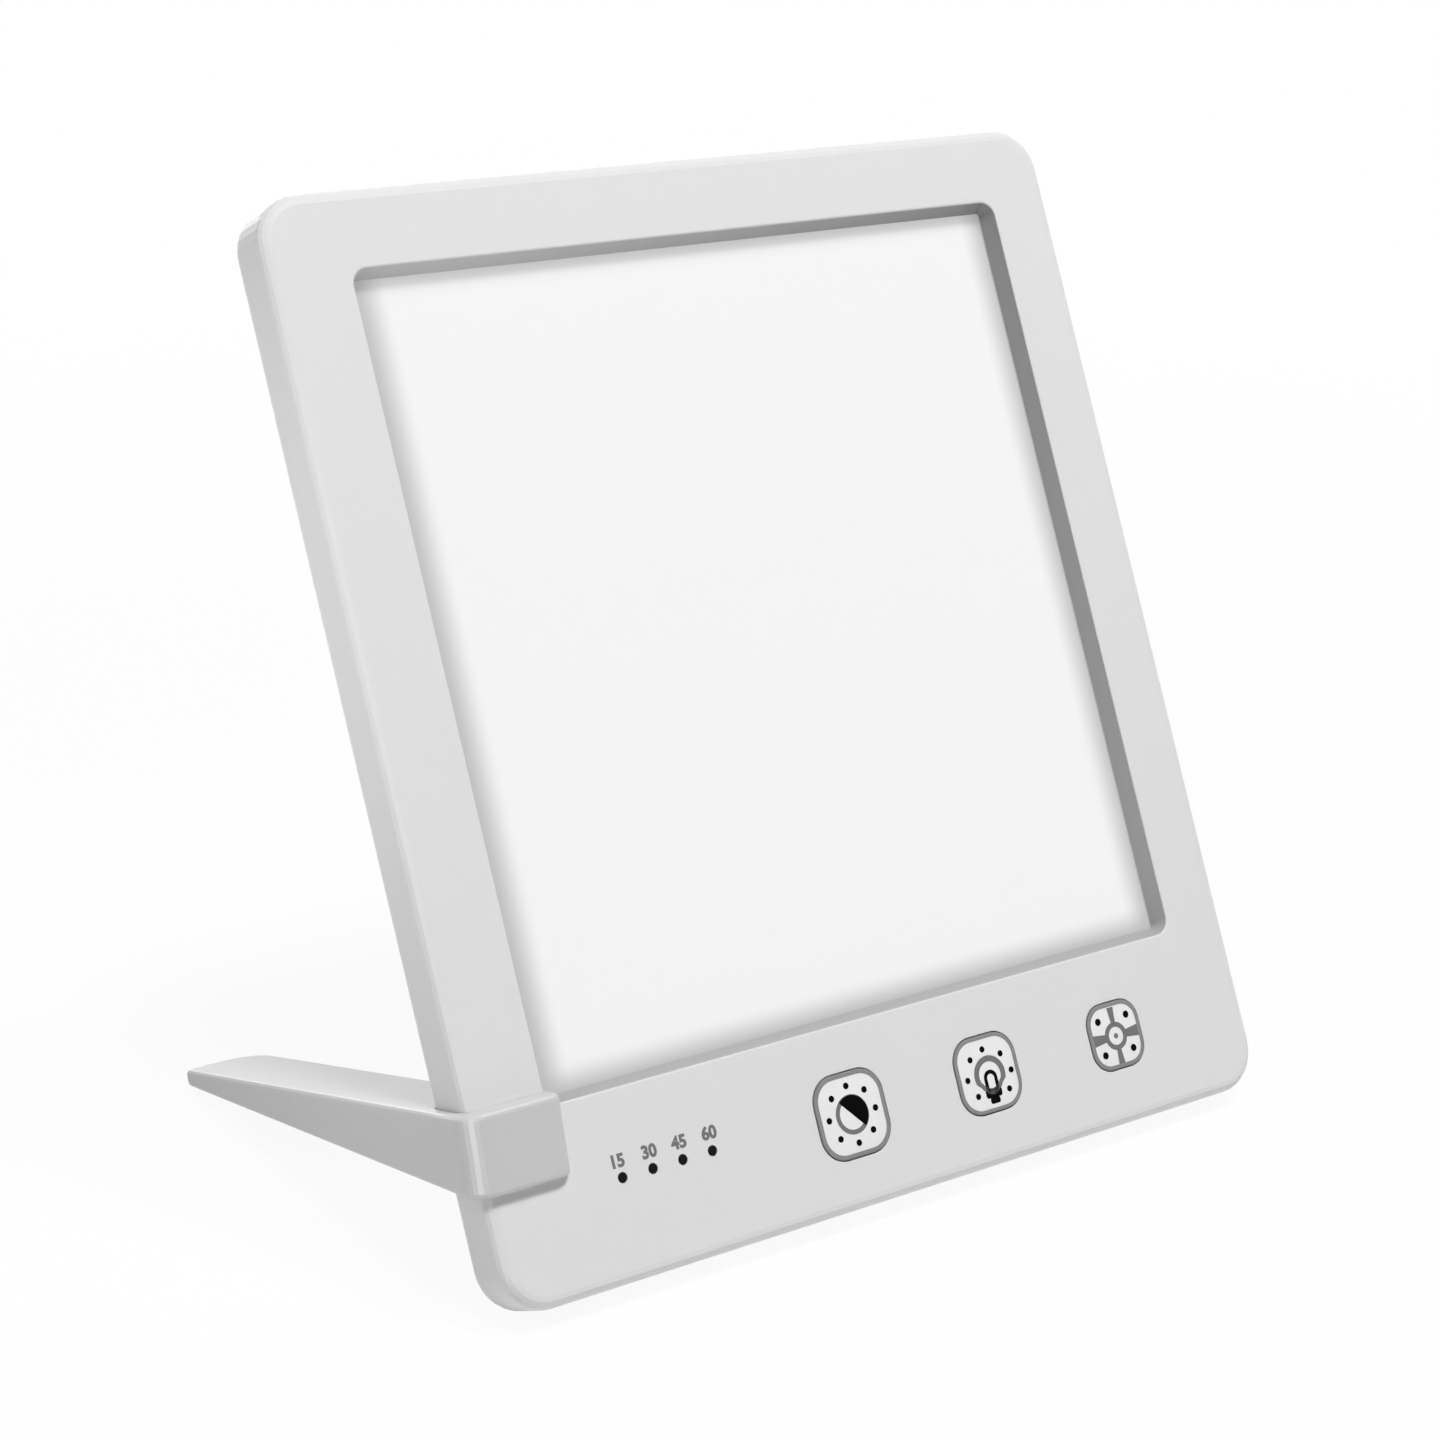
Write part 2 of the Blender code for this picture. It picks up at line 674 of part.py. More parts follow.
def strip_lead(name, start, bend, end, parent, material):
    # A short insulated lead on one smooth curve.
    curve = bpy.data.curves.new(name, "CURVE")
    curve.dimensions = "3D"
    curve.bevel_depth = LEAD_RADIUS
    curve.bevel_resolution = 1
    curve.use_fill_caps = True
    spline = curve.splines.new("POLY")
    spline.points.add(LEAD_POINTS - 1)
    for turn in range(LEAD_POINTS):
        share = turn / (LEAD_POINTS - 1)
        place = start.lerp(bend, share).lerp(bend.lerp(end, share), share)
        spline.points[turn].co = (*place, 1)
    item = bpy.data.objects.new(name, curve)
    bpy.context.scene.collection.objects.link(item)
    item.parent = parent
    curve.materials.append(material)


# Controls

def key(name, width, radius, parent, material):
    # Cap, retaining flange and the presser that meets the switch. Origin on its push axis.
    def cap(growth, z):
        return square_ring(width + 2 * growth, radius + growth, z, CORNER_STEPS)

    flange = KEY_GAP + KEY_FLANGE_LAP
    presser = 2 * PRESSER_RADIUS
    rings = [
        cap(-KEY_EDGE, KEY_PROUD),
        cap(0, KEY_PROUD - KEY_EDGE),
        cap(0, flange_front),
        cap(flange, flange_front),
        cap(flange, flange_back),
        square_ring(presser, PRESSER_RADIUS, flange_back, CORNER_STEPS),
        square_ring(presser, PRESSER_RADIUS, presser_back, CORNER_STEPS),
    ]
    shape = bmesh.new()
    add_loft(shape, rings)
    solid(name, shape, material, parent)


def switch_plunger(name, parent, material):
    shape = bmesh.new()
    bottom = switch_front - PLUNGER_SUNK
    add_cylinder(shape, 0, 0, PLUNGER_RADIUS, bottom, plunger_top, SMALL_SIDES)
    solid(name, shape, material, parent)


def tact_switch(name, x, parent, material):
    # The fixed half: a square body with the plunger's blind bore.
    bore = PLUNGER_RADIUS + PLUNGER_GAP
    rings = (
        square_ring(SWITCH_WIDTH, SWITCH_CORNER, switch_back, SMALL_STEPS),
        square_ring(SWITCH_WIDTH, SWITCH_CORNER, switch_front, SMALL_STEPS),
        square_ring(2 * bore, bore, switch_front, SMALL_STEPS),
        square_ring(2 * bore, bore, switch_bore_end, SMALL_STEPS),
    )
    shape = bmesh.new()
    add_loft(shape, rings)
    solid(name, shape, material, parent, (x, key_row, 0))


def indicator_lens(name, x, parent, material):
    # A light pipe from the bezel's face down to its LED.
    shape = bmesh.new()
    flange_end = flange_front - LENS_FLANGE
    add_turned(shape, (
        (0, 0),
        (LENS_RADIUS, 0),
        (LENS_RADIUS, flange_front),
        (LENS_FLANGE_RADIUS, flange_front),
        (LENS_FLANGE_RADIUS, flange_end),
        (LENS_RADIUS, flange_end),
        (LENS_RADIUS, lens_back),
        (0, lens_back),
    ), SMALL_SIDES)
    solid(name, shape, material, parent, (x, lens_row, 0))


def control_board(parent, material):
    # The board straddles the socket, and carries its parts on the back.
    half = SOCKET_WIDTH / 2 + SIDE_GAP
    notch = socket_back - SIDE_GAP
    outline = (
        (board_left, board_low), (board_right, board_low),
        (board_right, key_row - half), (notch, key_row - half),
        (notch, key_row + half), (board_right, key_row + half),
        (board_right, board_high), (board_left, board_high),
    )
    shape = bmesh.new()
    add_prism(shape, [Vector((*point, board_back)) for point in outline], (0, 0, BOARD_THICKNESS))
    board = solid("control_board", shape, material, parent)

    parts = bmesh.new()
    sunk = board_back + BOARD_THICKNESS / 2
    length = notch - board_left
    middle = board_high - CHIP_HALF - BOARD_THICKNESS
    for share in CHIP_PLACE_SHARES:
        x = board_left + length * share
        add_block(
            parts, x - CHIP_HALF, x + CHIP_HALF, middle - CHIP_HALF, middle + CHIP_HALF,
            board_back - CHIP_HEIGHT, sunk,
        )
    for share in COIL_PLACE_SHARES:
        x = board_left + length * share
        add_cylinder(parts, x, middle, COIL_RADIUS, board_back - COIL_HEIGHT, sunk, ROUND_SIDES)
    for share in CONNECTOR_PLACE_SHARES:
        x = board_left + length * share
        add_block(
            parts, x - CONNECTOR_HALF_LENGTH, x + CONNECTOR_HALF_LENGTH,
            middle - CONNECTOR_HALF_WIDTH, middle + CONNECTOR_HALF_WIDTH,
            board_back - CONNECTOR_HEIGHT, sunk,
        )
    for x in lens_places:
        add_block(
            parts, x - INDICATOR_LED_HALF, x + INDICATOR_LED_HALF,
            lens_row - INDICATOR_LED_HALF, lens_row + INDICATOR_LED_HALF,
            sunk, board_front + INDICATOR_LED_HEIGHT,
        )
    combine(board, tool("board_parts", parts, parent), "UNION")

    holes = bmesh.new()
    for x in post_places:
        add_cylinder(
            holes, x, post_row, BOARD_SCREW_RADIUS + SCREW_GAP,
            board_back - OVERRUN, board_front + OVERRUN, SMALL_SIDES,
        )
    combine(board, tool("board_holes", holes, parent), "DIFFERENCE")


def board_screw(name, x, parent, material):
    # A pan head on the back of the board.
    shape = bmesh.new()
    head = -SEAT_GAP
    add_turned(shape, (
        (0, BOARD_SCREW_BITE),
        (BOARD_SCREW_RADIUS, BOARD_SCREW_BITE),
        (BOARD_SCREW_RADIUS, head),
        (BOARD_HEAD_RADIUS, head),
        (BOARD_HEAD_RADIUS, head - BOARD_HEAD_HEIGHT),
        (0, head - BOARD_HEAD_HEIGHT),
    ), SMALL_SIDES)
    solid(name, shape, material, parent, (x, post_row, board_back))


def dc_socket(parent, body_material, pin_material):
    # Lofted along its own Z, then laid across the panel with its mouth at the right.
    nose = 2 * NOSE_RADIUS
    bore = 2 * SOCKET_BORE_RADIUS
    back = socket_back - socket_mouth
    front = socket_front - socket_mouth
    body = (SOCKET_HEIGHT, SOCKET_CORNER)
    rings = (
        square_ring(*body, back, SMALL_STEPS, SOCKET_WIDTH),
        square_ring(*body, front, SMALL_STEPS, SOCKET_WIDTH),
        square_ring(nose, NOSE_RADIUS, front, SMALL_STEPS),
        square_ring(nose, NOSE_RADIUS, 0, SMALL_STEPS),
        square_ring(bore, SOCKET_BORE_RADIUS, 0, SMALL_STEPS),
        square_ring(bore, SOCKET_BORE_RADIUS, -SOCKET_BORE_DEPTH, SMALL_STEPS),
    )
    place = (socket_mouth, key_row, socket_middle)
    shape = bmesh.new()
    add_loft(shape, rings)
    socket = solid("dc_socket", shape, body_material, parent, place)
    socket.rotation_euler = (0, math.pi / 2, 0)
    shape = bmesh.new()
    start = -SOCKET_BORE_DEPTH + SEAT_GAP
    add_cylinder(shape, 0, 0, PIN_RADIUS, start, -PIN_SETBACK, SMALL_SIDES)
    pin = solid("dc_socket_pin", shape, pin_material, parent, place)
    pin.rotation_euler = (0, math.pi / 2, 0)


# Feet

foot_places = (FOOT_INSET, PANEL_WIDTH - FOOT_INSET - FOOT_LENGTH)


def foot_outline(side, below):
    # Level underside, upright sides. side and below grow it into its own seat.
    half = FOOT_WIDTH / 2 + side
    top = floor_height + FOOT_HEIGHT + side
    bottom = floor_height - below
    corners = (
        (heel_back - half, bottom), (heel_back + half, bottom),
        (heel_back + half, top), (heel_back - half, top),
    )
    return [to_panel(*corner) for corner in corners]


def foot(name, left, parent, material):
    shape = bmesh.new()
    add_side_prism(shape, foot_outline(0, 0), left, left + FOOT_LENGTH)
    solid(name, shape, material, parent)


# Stand

lip_low = to_standing(LIP_LOW, LIP_LOW_PROUD)
lip_high = to_standing(LIP_HIGH, LIP_HIGH_PROUD)
tip_high = Vector((LEG_REACH, floor_height + TIP_HEIGHT))
tip_low = Vector((LEG_REACH - TIP_RAKE, floor_height + TIP_CLEARANCE))
grip_middle = (LIP_LOW + LIP_HIGH) / 2
clip_middle = Vector((0, grip_middle, -panel_depth / 2))


def under_leg(back):
    # Height of the leg's underside at a distance back.
    share = (back - lip_low.x) / (tip_low.x - lip_low.x)
    return lip_low.y + (tip_low.y - lip_low.y) * share


def over_leg(back):
    share = (back - lip_high.x) / (tip_high.x - lip_high.x)
    return lip_high.y + (tip_high.y - lip_high.y) * share


def crossing(start, end, out):
    # Where a side-view line passes a depth below the bezel's face.
    first = to_panel(*start)
    last = to_panel(*end)
    return first.lerp(last, (first.y - out) / (first.y - last.y))


def stand_solid():
    # Head and leg are drawn as one side view, and only the head is drawn out to the lip's width.
    split = -panel_depth / 2
    high_split = crossing(lip_high, tip_high, split)
    low_split = crossing(lip_low, tip_low, split)
    corners = {
        "low": to_panel(*lip_low), "high": to_panel(*lip_high), "high_split": high_split,
        "tip_high": to_panel(*tip_high), "tip_low": to_panel(*tip_low), "low_split": low_split,
    }
    shape = bmesh.new()
    verts = {name: shape.verts.new((-CLIP_SIDE, *point)) for name, point in corners.items()}
    head = shape.faces.new([verts[name] for name in ("low", "high", "high_split", "low_split")])
    leg = shape.faces.new([verts[name] for name in ("low_split", "high_split", "tip_high", "tip_low")])
    made = bmesh.ops.extrude_face_region(shape, geom=[head, leg])["geom"]
    moved = [item for item in made if isinstance(item, bmesh.types.BMVert)]
    bmesh.ops.translate(shape, verts=moved, vec=(CLIP_SIDE + LEG_RIGHT, 0, 0))
    faces = [item for item in made if isinstance(item, bmesh.types.BMFace)]
    far_head = max(faces, key=lambda face: face.calc_center_median().z)
    made = bmesh.ops.extrude_face_region(shape, geom=[far_head])["geom"]
    moved = [item for item in made if isinstance(item, bmesh.types.BMVert)]
    bmesh.ops.translate(shape, verts=moved, vec=(LIP_REACH - LEG_RIGHT, 0, 0))
    bmesh.ops.delete(shape, geom=[far_head], context="FACES_ONLY")
    bmesh.ops.recalc_face_normals(shape, faces=shape.faces)
    bmesh.ops.dissolve_limit(
        shape, angle_limit=FLAT_ANGLE, verts=shape.verts, edges=shape.edges,
    )
    return shape, corners


def upright_edges(shape, low, high, x):
    # The edges that join two corners of the side view, at one distance across.
    wanted = (Vector((x, *low)), Vector((x, *high)))
    found = []
    for edge in shape.edges:
        ends = [vert.co for vert in edge.verts]
        for first, last in (ends, ends[::-1]):
            near = (first - wanted[0]).length + (last - wanted[1]).length
            if near < SIDE_GAP:
                found.append(edge)
    return found


def stand_clip(parent, material):
    shape, corners = stand_solid()
    low = corners["low"]
    high = corners["high"]
    round_edges(shape, upright_edges(shape, low, high, -CLIP_SIDE), CLIP_CORNER, CORNER_STEPS)
    round_edges(shape, upright_edges(shape, low, high, LIP_REACH), LIP_CORNER, SMALL_STEPS)
    for x, radius in ((-CLIP_SIDE, TIP_NEAR_CORNER), (LEG_RIGHT, TIP_FAR_CORNER)):
        found = upright_edges(shape, corners["tip_low"], corners["tip_high"], x)
        round_edges(shape, found, radius, CORNER_STEPS)
    over = (corners["tip_high"] - high).normalized()
    under = (corners["tip_low"] - low).normalized()
    flats = (Vector((0, over.y, -over.x)), Vector((0, under.y, -under.x)))

    def is_flat(face):
        return any(abs(face.normal.dot(flat)) > math.cos(FLAT_ANGLE) for flat in flats)

    brims = [
        edge for edge in shape.edges
        if len(edge.link_faces) == 2 and sum(map(is_flat, edge.link_faces)) == 1
    ]
    round_edges(shape, brims, STAND_EDGE, SMALL_STEPS - 1)
    clip = solid("stand_clip", shape, material, parent, -clip_middle)
    combine(clip, tool("clip_slot", clip_slot(), parent, -clip_middle), "DIFFERENCE")
    combine(clip, tool("clip_pockets", clip_pockets(), parent, -clip_middle), "DIFFERENCE")


def clip_slot():
    # The panel's own section with CLIP_GAP all round, drawn up through the clip.
    radius = EDGE_RADIUS + CLIP_GAP
    front = CLIP_GAP
    back = -panel_depth - CLIP_GAP
    plan = [(LIP_REACH + OVERRUN, back), (LIP_REACH + OVERRUN, front)]
    for middle, start in ((front - radius, math.pi / 2), (back + radius, math.pi)):
        for step in range(SMALL_STEPS + 1):
            angle = start + math.pi / 2 * step / SMALL_STEPS
            x = -CLIP_GAP + radius + radius * math.cos(angle)
            plan.append((x, middle + radius * math.sin(angle)))
    shape = bmesh.new()
    low = min(LIP_LOW, LIP_HIGH) - LIP_HIGH
    height = 2 * LIP_HIGH - low
    add_prism(shape, [Vector((x, low, z)) for x, z in plan], (0, height, 0))
    return shape


def grip_bounds(side, depth):
    # Across and up the panel, grown by side. Then how far each pad is let into the clip.
    left = GRIP_INSET - side
    right = GRIP_INSET + GRIP_WIDTH + side
    low = grip_middle - GRIP_HEIGHT / 2 - side
    high = grip_middle + GRIP_HEIGHT / 2 + side
    below = OVERRUN if depth else 0
    front = (left, right, low, high, CLIP_GAP - below, CLIP_GAP + GRIP_THICKNESS + depth)
    face = -panel_depth - CLIP_GAP
    rise = corner_height(face) - grip_middle
    back = (
        left, right, low + rise, high + rise, face - GRIP_THICKNESS - depth, face + below,
    )
    return front, back


def corner_height(out):
    # Middle of the clip, up the panel, at a depth below the bezel's face.
    low = crossing(lip_low, tip_low, out)
    high = crossing(lip_high, tip_high, out)
    return (low.x + high.x) / 2


def tip_pad_outline(side, below):
    # Level underside, and a top that follows the underside of the leg.
    start = LEG_REACH - TIP_PAD_START - side
    end = LEG_REACH - TIP_PAD_END + side
    lift = TIP_PAD_SEAT + side
    points = (
        (start, floor_height - below), (end, floor_height - below),
        (end, under_leg(end) + lift), (start, under_leg(start) + lift),
    )
    return [to_panel(*point) for point in points]


def clip_pockets():
    # Seats of the grip pads and the tip pad, and the coring under the leg.
    shape = bmesh.new()
    for bounds in grip_bounds(SIDE_GAP, SIDE_GAP):
        add_block(shape, *bounds)
    pad_left = -CLIP_SIDE + TIP_PAD_LEFT - SIDE_GAP
    pad_right = LEG_RIGHT - TIP_PAD_RIGHT + SIDE_GAP
    add_side_prism(shape, tip_pad_outline(SIDE_GAP, OVERRUN), pad_left, pad_right)
    left = -CLIP_SIDE + CORE_WALL
    right = LEG_RIGHT - CORE_WALL
    back_face = to_standing(corner_height(-panel_depth), -panel_depth).x
    first = back_face + CORE_START
    pitch = (LEG_REACH - CORE_END - first + CORE_RIB) / CORE_POCKETS
    for turn in range(CORE_POCKETS):
        start = first + pitch * turn
        end = start + pitch - CORE_RIB
        points = (
            (start, under_leg(start) - OVERRUN), (end, under_leg(end) - OVERRUN),
            (end, over_leg(end) - CORE_WALL), (start, over_leg(start) - CORE_WALL),
        )
        add_side_prism(shape, [to_panel(*point) for point in points], left, right)
    return shape


def grip_pads(parent, material):
    for name, bounds in zip(("grip_pad_front", "grip_pad_rear"), grip_bounds(0, 0)):
        shape = bmesh.new()
        add_block(shape, *bounds)
        solid(name, shape, material, parent, -clip_middle)


def tip_pad(parent, material):
    shape = bmesh.new()
    left = -CLIP_SIDE + TIP_PAD_LEFT
    right = LEG_RIGHT - TIP_PAD_RIGHT
    add_side_prism(shape, tip_pad_outline(0, 0), left, right)
    solid("stand_foot", shape, material, parent, -clip_middle)


# Assembly

def stand_on_origin(base):
    # Puts the middle of the whole lamp's box over the origin, and its feet at Z = 0.
    bpy.context.view_layer.update()
    graph = bpy.context.evaluated_depsgraph_get()
    corners = []
    for item in bpy.context.scene.objects:
        if item.type in ("MESH", "CURVE") and not item.hide_render:
            seen = item.evaluated_get(graph)
            mesh = seen.to_mesh()
            corners += [seen.matrix_world @ vert.co for vert in mesh.vertices]
            seen.to_mesh_clear()
    for side in range(2):
        values = [corner[side] for corner in corners]
        base.location[side] -= (min(values) + max(values)) / 2
    base.location.z -= min(corner.z for corner in corners)


def build():
    for item in list(bpy.data.objects):
        bpy.data.objects.remove(item, do_unlink=True)

    housing = plain_material("housing_plastic", (0.80, 0.80, 0.80), 0.42)
    stand = plain_material("stand_plastic", (0.76, 0.76, 0.76), 0.42)
    key_cap = plain_material("key_plastic", (0.84, 0.84, 0.84), 0.38)
    opal = plain_material("diffuser_opal", (0.93, 0.93, 0.93), 0.30)
    clear = plain_material("guide_acrylic", (0.90, 0.93, 0.95), 0.08, alpha=0.6)
    smoked = plain_material("lens_smoked", (0.02, 0.02, 0.02), 0.20)
    film = plain_material("reflector_film", (0.95, 0.95, 0.95), 0.55)
    foam = plain_material("gasket_foam", (0.08, 0.08, 0.08), 0.90)
    sheet_metal = plain_material("plate_aluminium", (0.70, 0.71, 0.72), 0.40, 1.0)
    strip = plain_material("strip_board", (0.82, 0.82, 0.76), 0.50)
    circuit = plain_material("circuit_board", (0.05, 0.22, 0.10), 0.45)
    black = plain_material("switch_black", (0.03, 0.03, 0.03), 0.45)
    steel = plain_material("screw_steel", (0.45, 0.45, 0.46), 0.30, 1.0)
    brass = plain_material("contact_brass", (0.75, 0.60, 0.28), 0.25, 1.0)
    rubber = plain_material("pad_rubber", (0.35, 0.35, 0.35), 0.85)
    lead = plain_material("lead_insulation", (0.55, 0.05, 0.04), 0.50)

    base = axes("lamp_base", None, (0, 0, 0))
    panel = axes("panel_axes", base, (0, 0, 0))
    panel.rotation_euler = (math.pi / 2 - RECLINE, 0, 0)

    front_frame(panel, housing)
    rear_cover(panel, housing)
    for count, place in enumerate(boss_places, 1):
        cover_screw(f"cover_screw_{count}", place, panel, steel)
    for name, left in zip(("foot_left", "foot_right"), foot_places):
        foot(name, left, panel, rubber)

    window_lap = (
        window_left - DIFFUSER_LAP, window_right + DIFFUSER_LAP,
        window_low - DIFFUSER_LAP, window_high + DIFFUSER_LAP,
    )
    guide = (guide_left, guide_right, guide_low, guide_high)
    sheet("diffuser_panel", window_lap, diffuser_front, DIFFUSER_THICKNESS, panel, opal)
    sheet("light_guide_plate", guide, guide_front, GUIDE_THICKNESS, panel, clear)
    sheet("reflector_sheet", guide, reflector_front, REFLECTOR_THICKNESS, panel, film)
    diffuser_gasket(panel, foam)
    backing_plate(panel, sheet_metal)
    strip_left = guide_left - SEAT_GAP - strip_depth
    strip_right = guide_right + SEAT_GAP + strip_depth
    led_strip("led_strip_left", strip_left, 1, panel, strip)
    led_strip("led_strip_right", strip_right, -1, panel, strip)

    control_board(panel, circuit)
    for count, x in enumerate(post_places, 1):
        board_screw(f"board_screw_{count}", x, panel, steel)
    for name, x, (width, radius) in zip(KEY_NAMES, key_places, key_sizes):
        push_axis = axes(f"push_axis_{name}", panel, (x, key_row, 0))
        key(f"key_{name}", width, radius, push_axis, key_cap)
        switch_plunger(f"switch_plunger_{name}", push_axis, black)
        tact_switch(f"tact_switch_{name}", x, panel, black)
    for count, x in enumerate(lens_places, 1):
        indicator_lens(f"indicator_lens_{count}", x, panel, smoked)
    dc_socket(panel, black, brass)

    lead_z = (board_front + board_back) / 2
    reach = LEAD_RADIUS + SEAT_GAP
    for name, strip_x, board_x, board_y in (
        ("strip_lead_left", strip_left + strip_depth / 2, board_left - SEAT_GAP, key_row),
        ("strip_lead_right", strip_right - strip_depth / 2, board_right - reach, board_high + SEAT_GAP),
    ):
        end = Vector((strip_x, guide_low - SEAT_GAP, lead_z))
        start = Vector((board_x, board_y, lead_z))
        bend = Vector((strip_x, board_y, lead_z))
        if name == "strip_lead_right":
            bend = Vector((board_x, guide_low - reach, lead_z))
        strip_lead(name, start, bend, end, panel, lead)

    stand_axes = axes("stand_axes", panel, clip_middle)
    stand_clip(stand_axes, stand)
    grip_pads(stand_axes, rubber)
    tip_pad(stand_axes, rubber)
    stand_on_origin(base)


build()
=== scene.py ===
import math

import bmesh
import bpy
from mathutils import Euler, Matrix, Vector


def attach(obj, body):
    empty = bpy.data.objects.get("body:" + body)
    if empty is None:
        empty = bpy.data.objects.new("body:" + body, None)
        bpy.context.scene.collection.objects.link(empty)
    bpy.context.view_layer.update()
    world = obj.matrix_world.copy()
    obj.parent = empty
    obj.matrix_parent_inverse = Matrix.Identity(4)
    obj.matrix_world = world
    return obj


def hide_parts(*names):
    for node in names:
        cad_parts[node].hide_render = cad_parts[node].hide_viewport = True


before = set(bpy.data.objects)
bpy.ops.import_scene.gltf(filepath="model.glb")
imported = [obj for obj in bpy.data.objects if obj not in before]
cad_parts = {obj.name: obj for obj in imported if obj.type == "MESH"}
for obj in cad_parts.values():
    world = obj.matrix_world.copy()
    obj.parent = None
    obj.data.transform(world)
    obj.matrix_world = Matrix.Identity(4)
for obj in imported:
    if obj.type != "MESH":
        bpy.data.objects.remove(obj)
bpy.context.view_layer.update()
print("parts loaded:", len(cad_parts))

panel = {
    "corner": (-0.0985, -0.067663, 0.005383),  # lower left corner of the front face
    "lean": 26.69,  # degrees back from upright
}
leanTurn = math.radians(90 - panel["lean"])
panelAxes = Matrix.Translation(panel["corner"]) @ Matrix.Rotation(leanTurn, 4, "X")

drawing = {
    "merge": 0.0000005,  # points closer than this become one
    "same": 0.00001,  # heights closer than this are the same
    "facing": 0.9,  # share of a normal or an edge that points one way, to count as that way
    "level": 0.1,  # an edge that rises less than this share is level
    "sharp": 35,  # degrees from which an edge stays sharp
}


# Small helpers for modelling

def clearSelection():
    bpy.ops.object.select_all(action="DESELECT")


def pickOnly(piece):
    clearSelection()
    piece.select_set(True)
    bpy.context.view_layer.objects.active = piece


def selectAll():
    bpy.ops.mesh.select_all(action="SELECT")


def selectFaces(test):
    shape = bmesh.from_edit_mesh(bpy.context.object.data)
    bpy.ops.mesh.select_mode(type="FACE")
    bpy.ops.mesh.select_all(action="DESELECT")
    for face in shape.faces:
        if test(face.calc_center_median(), face.normal):
            face.select_set(True)
    bmesh.update_edit_mesh(bpy.context.object.data)


def selectEdges(test):
    shape = bmesh.from_edit_mesh(bpy.context.object.data)
    bpy.ops.mesh.select_mode(type="EDGE")
    bpy.ops.mesh.select_all(action="DESELECT")
    for edge in shape.edges:
        first, last = (vert.co for vert in edge.verts)
        if test((first + last) / 2, (last - first).normalized()):
            edge.select_set(True)
    bmesh.update_edit_mesh(bpy.context.object.data)


def pushOut(distance):
    bpy.ops.mesh.extrude_region_move(TRANSFORM_OT_translate={"value": (0, 0, distance)})


def stepTo(height, scale):
    # Draws the picked flat on to a new height and size, as a turner steps a shaft.
    shape = bmesh.from_edit_mesh(bpy.context.object.data)
    picked = [vert.co for vert in shape.verts if vert.select]
    middle = sum(picked, Vector()) / len(picked)
    pushOut(height - middle.z)
    bpy.ops.transform.resize(value=(scale, scale, 1), center_override=(middle.x, middle.y, height))


def roundEdges(width, steps):
    bpy.ops.mesh.bevel(offset=width, segments=steps, affect="EDGES")


def openPiece(name):
    # A new primitive gets its name and is opened for modelling, with all of it picked.
    piece = bpy.context.object
    piece.name = name
    piece.data.name = name
    bpy.ops.object.mode_set(mode="EDIT")
    selectAll()
    return piece


def settle():
    # Moves place, turn and size into the mesh.
    bpy.ops.object.transform_apply(location=True, rotation=True, scale=True)


def closePiece(sharp=drawing["sharp"]):
    selectAll()
    bpy.ops.mesh.remove_doubles(threshold=drawing["merge"])
    bpy.ops.mesh.normals_make_consistent(inside=False)
    bpy.ops.object.mode_set(mode="OBJECT")
    settle()
    bpy.ops.object.shade_smooth_by_angle(angle=math.radians(sharp))
    return bpy.context.object


def useModifier(piece, kind, **values):
    modifier = piece.modifiers.new(kind.lower(), kind)
    for name, value in values.items():
        setattr(modifier, name, value)
    pickOnly(piece)
    bpy.ops.object.modifier_apply(modifier=modifier.name)


def joinPieces(name, pieces):
    pickOnly(pieces[0])
    for piece in pieces:
        piece.select_set(True)
    if len(pieces) > 1:
        bpy.ops.object.join()
    joined = bpy.context.object
    joined.name = name
    joined.data.name = name
    return joined


def copyPiece(piece, name):
    twin = piece.copy()
    twin.data = piece.data.copy()
    twin.name = name
    twin.data.name = name
    bpy.context.scene.collection.objects.link(twin)
    return twin


def moveMesh(piece, matrix):
    # Places a closed piece, and holds the place in its mesh.
    piece.matrix_world = matrix
    pickOnly(piece)
    settle()
    return piece


def standUp(piece, place=(0, 0, 0)):
    # From its flat drawing to its place on the leaning panel.
    return moveMesh(piece, panelAxes @ Matrix.Translation(place))


def finishPiece(piece, body, slot, finish, *stands):
    piece.data.materials.clear()
    piece.data.materials.append(finishes[finish])
    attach(piece, body)
    if stands:
        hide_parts(*stands)


# Effects that several finishes share

def grey(level):
    return (level, level, level)


def feed(tree, socket, item):
    # A socket takes a link, or else a plain value.
    if isinstance(item, bpy.types.NodeSocket):
        tree.links.new(item, socket)
    else:
        socket.default_value = item


def newGroup(name, inputs, outputs):
    group = bpy.data.node_groups.new(name, "ShaderNodeTree")
    for label, kind, value in inputs:
        made = group.interface.new_socket(name=label, in_out="INPUT", socket_type=kind)
        if value is not None:
            made.default_value = value
    for label, kind in outputs:
        group.interface.new_socket(name=label, in_out="OUTPUT", socket_type=kind)
    start = group.nodes.new("NodeGroupInput")
    end = group.nodes.new("NodeGroupOutput")
    return group, start, end


def addNode(tree, kind, **values):
    # Each value goes to the node's setting of that name, or else to its input.
    node = tree.nodes.new(kind)
    for name, value in values.items():
        if hasattr(node, name):
            setattr(node, name, value)
        else:
            node.inputs[name.replace("_", " ").title()].default_value = value
    return node


def addMath(tree, operation, first, second=0.0, third=None):
    node = addNode(tree, "ShaderNodeMath", operation=operation)
    for place, item in enumerate((first, second, third)):
        if item is not None:
            feed(tree, node.inputs[place], item)
    return node.outputs[0]


def addRange(tree, value, low, high, toLow=0.0, toHigh=1.0, smooth=False):
    node = tree.nodes.new("ShaderNodeMapRange")
    node.interpolation_type = "SMOOTHSTEP" if smooth else "LINEAR"
    ends = {"Value": value, "From Min": low, "From Max": high, "To Min": toLow, "To Max": toHigh}
    for label, item in ends.items():
        feed(tree, node.inputs[label], item)
    return node.outputs["Result"]


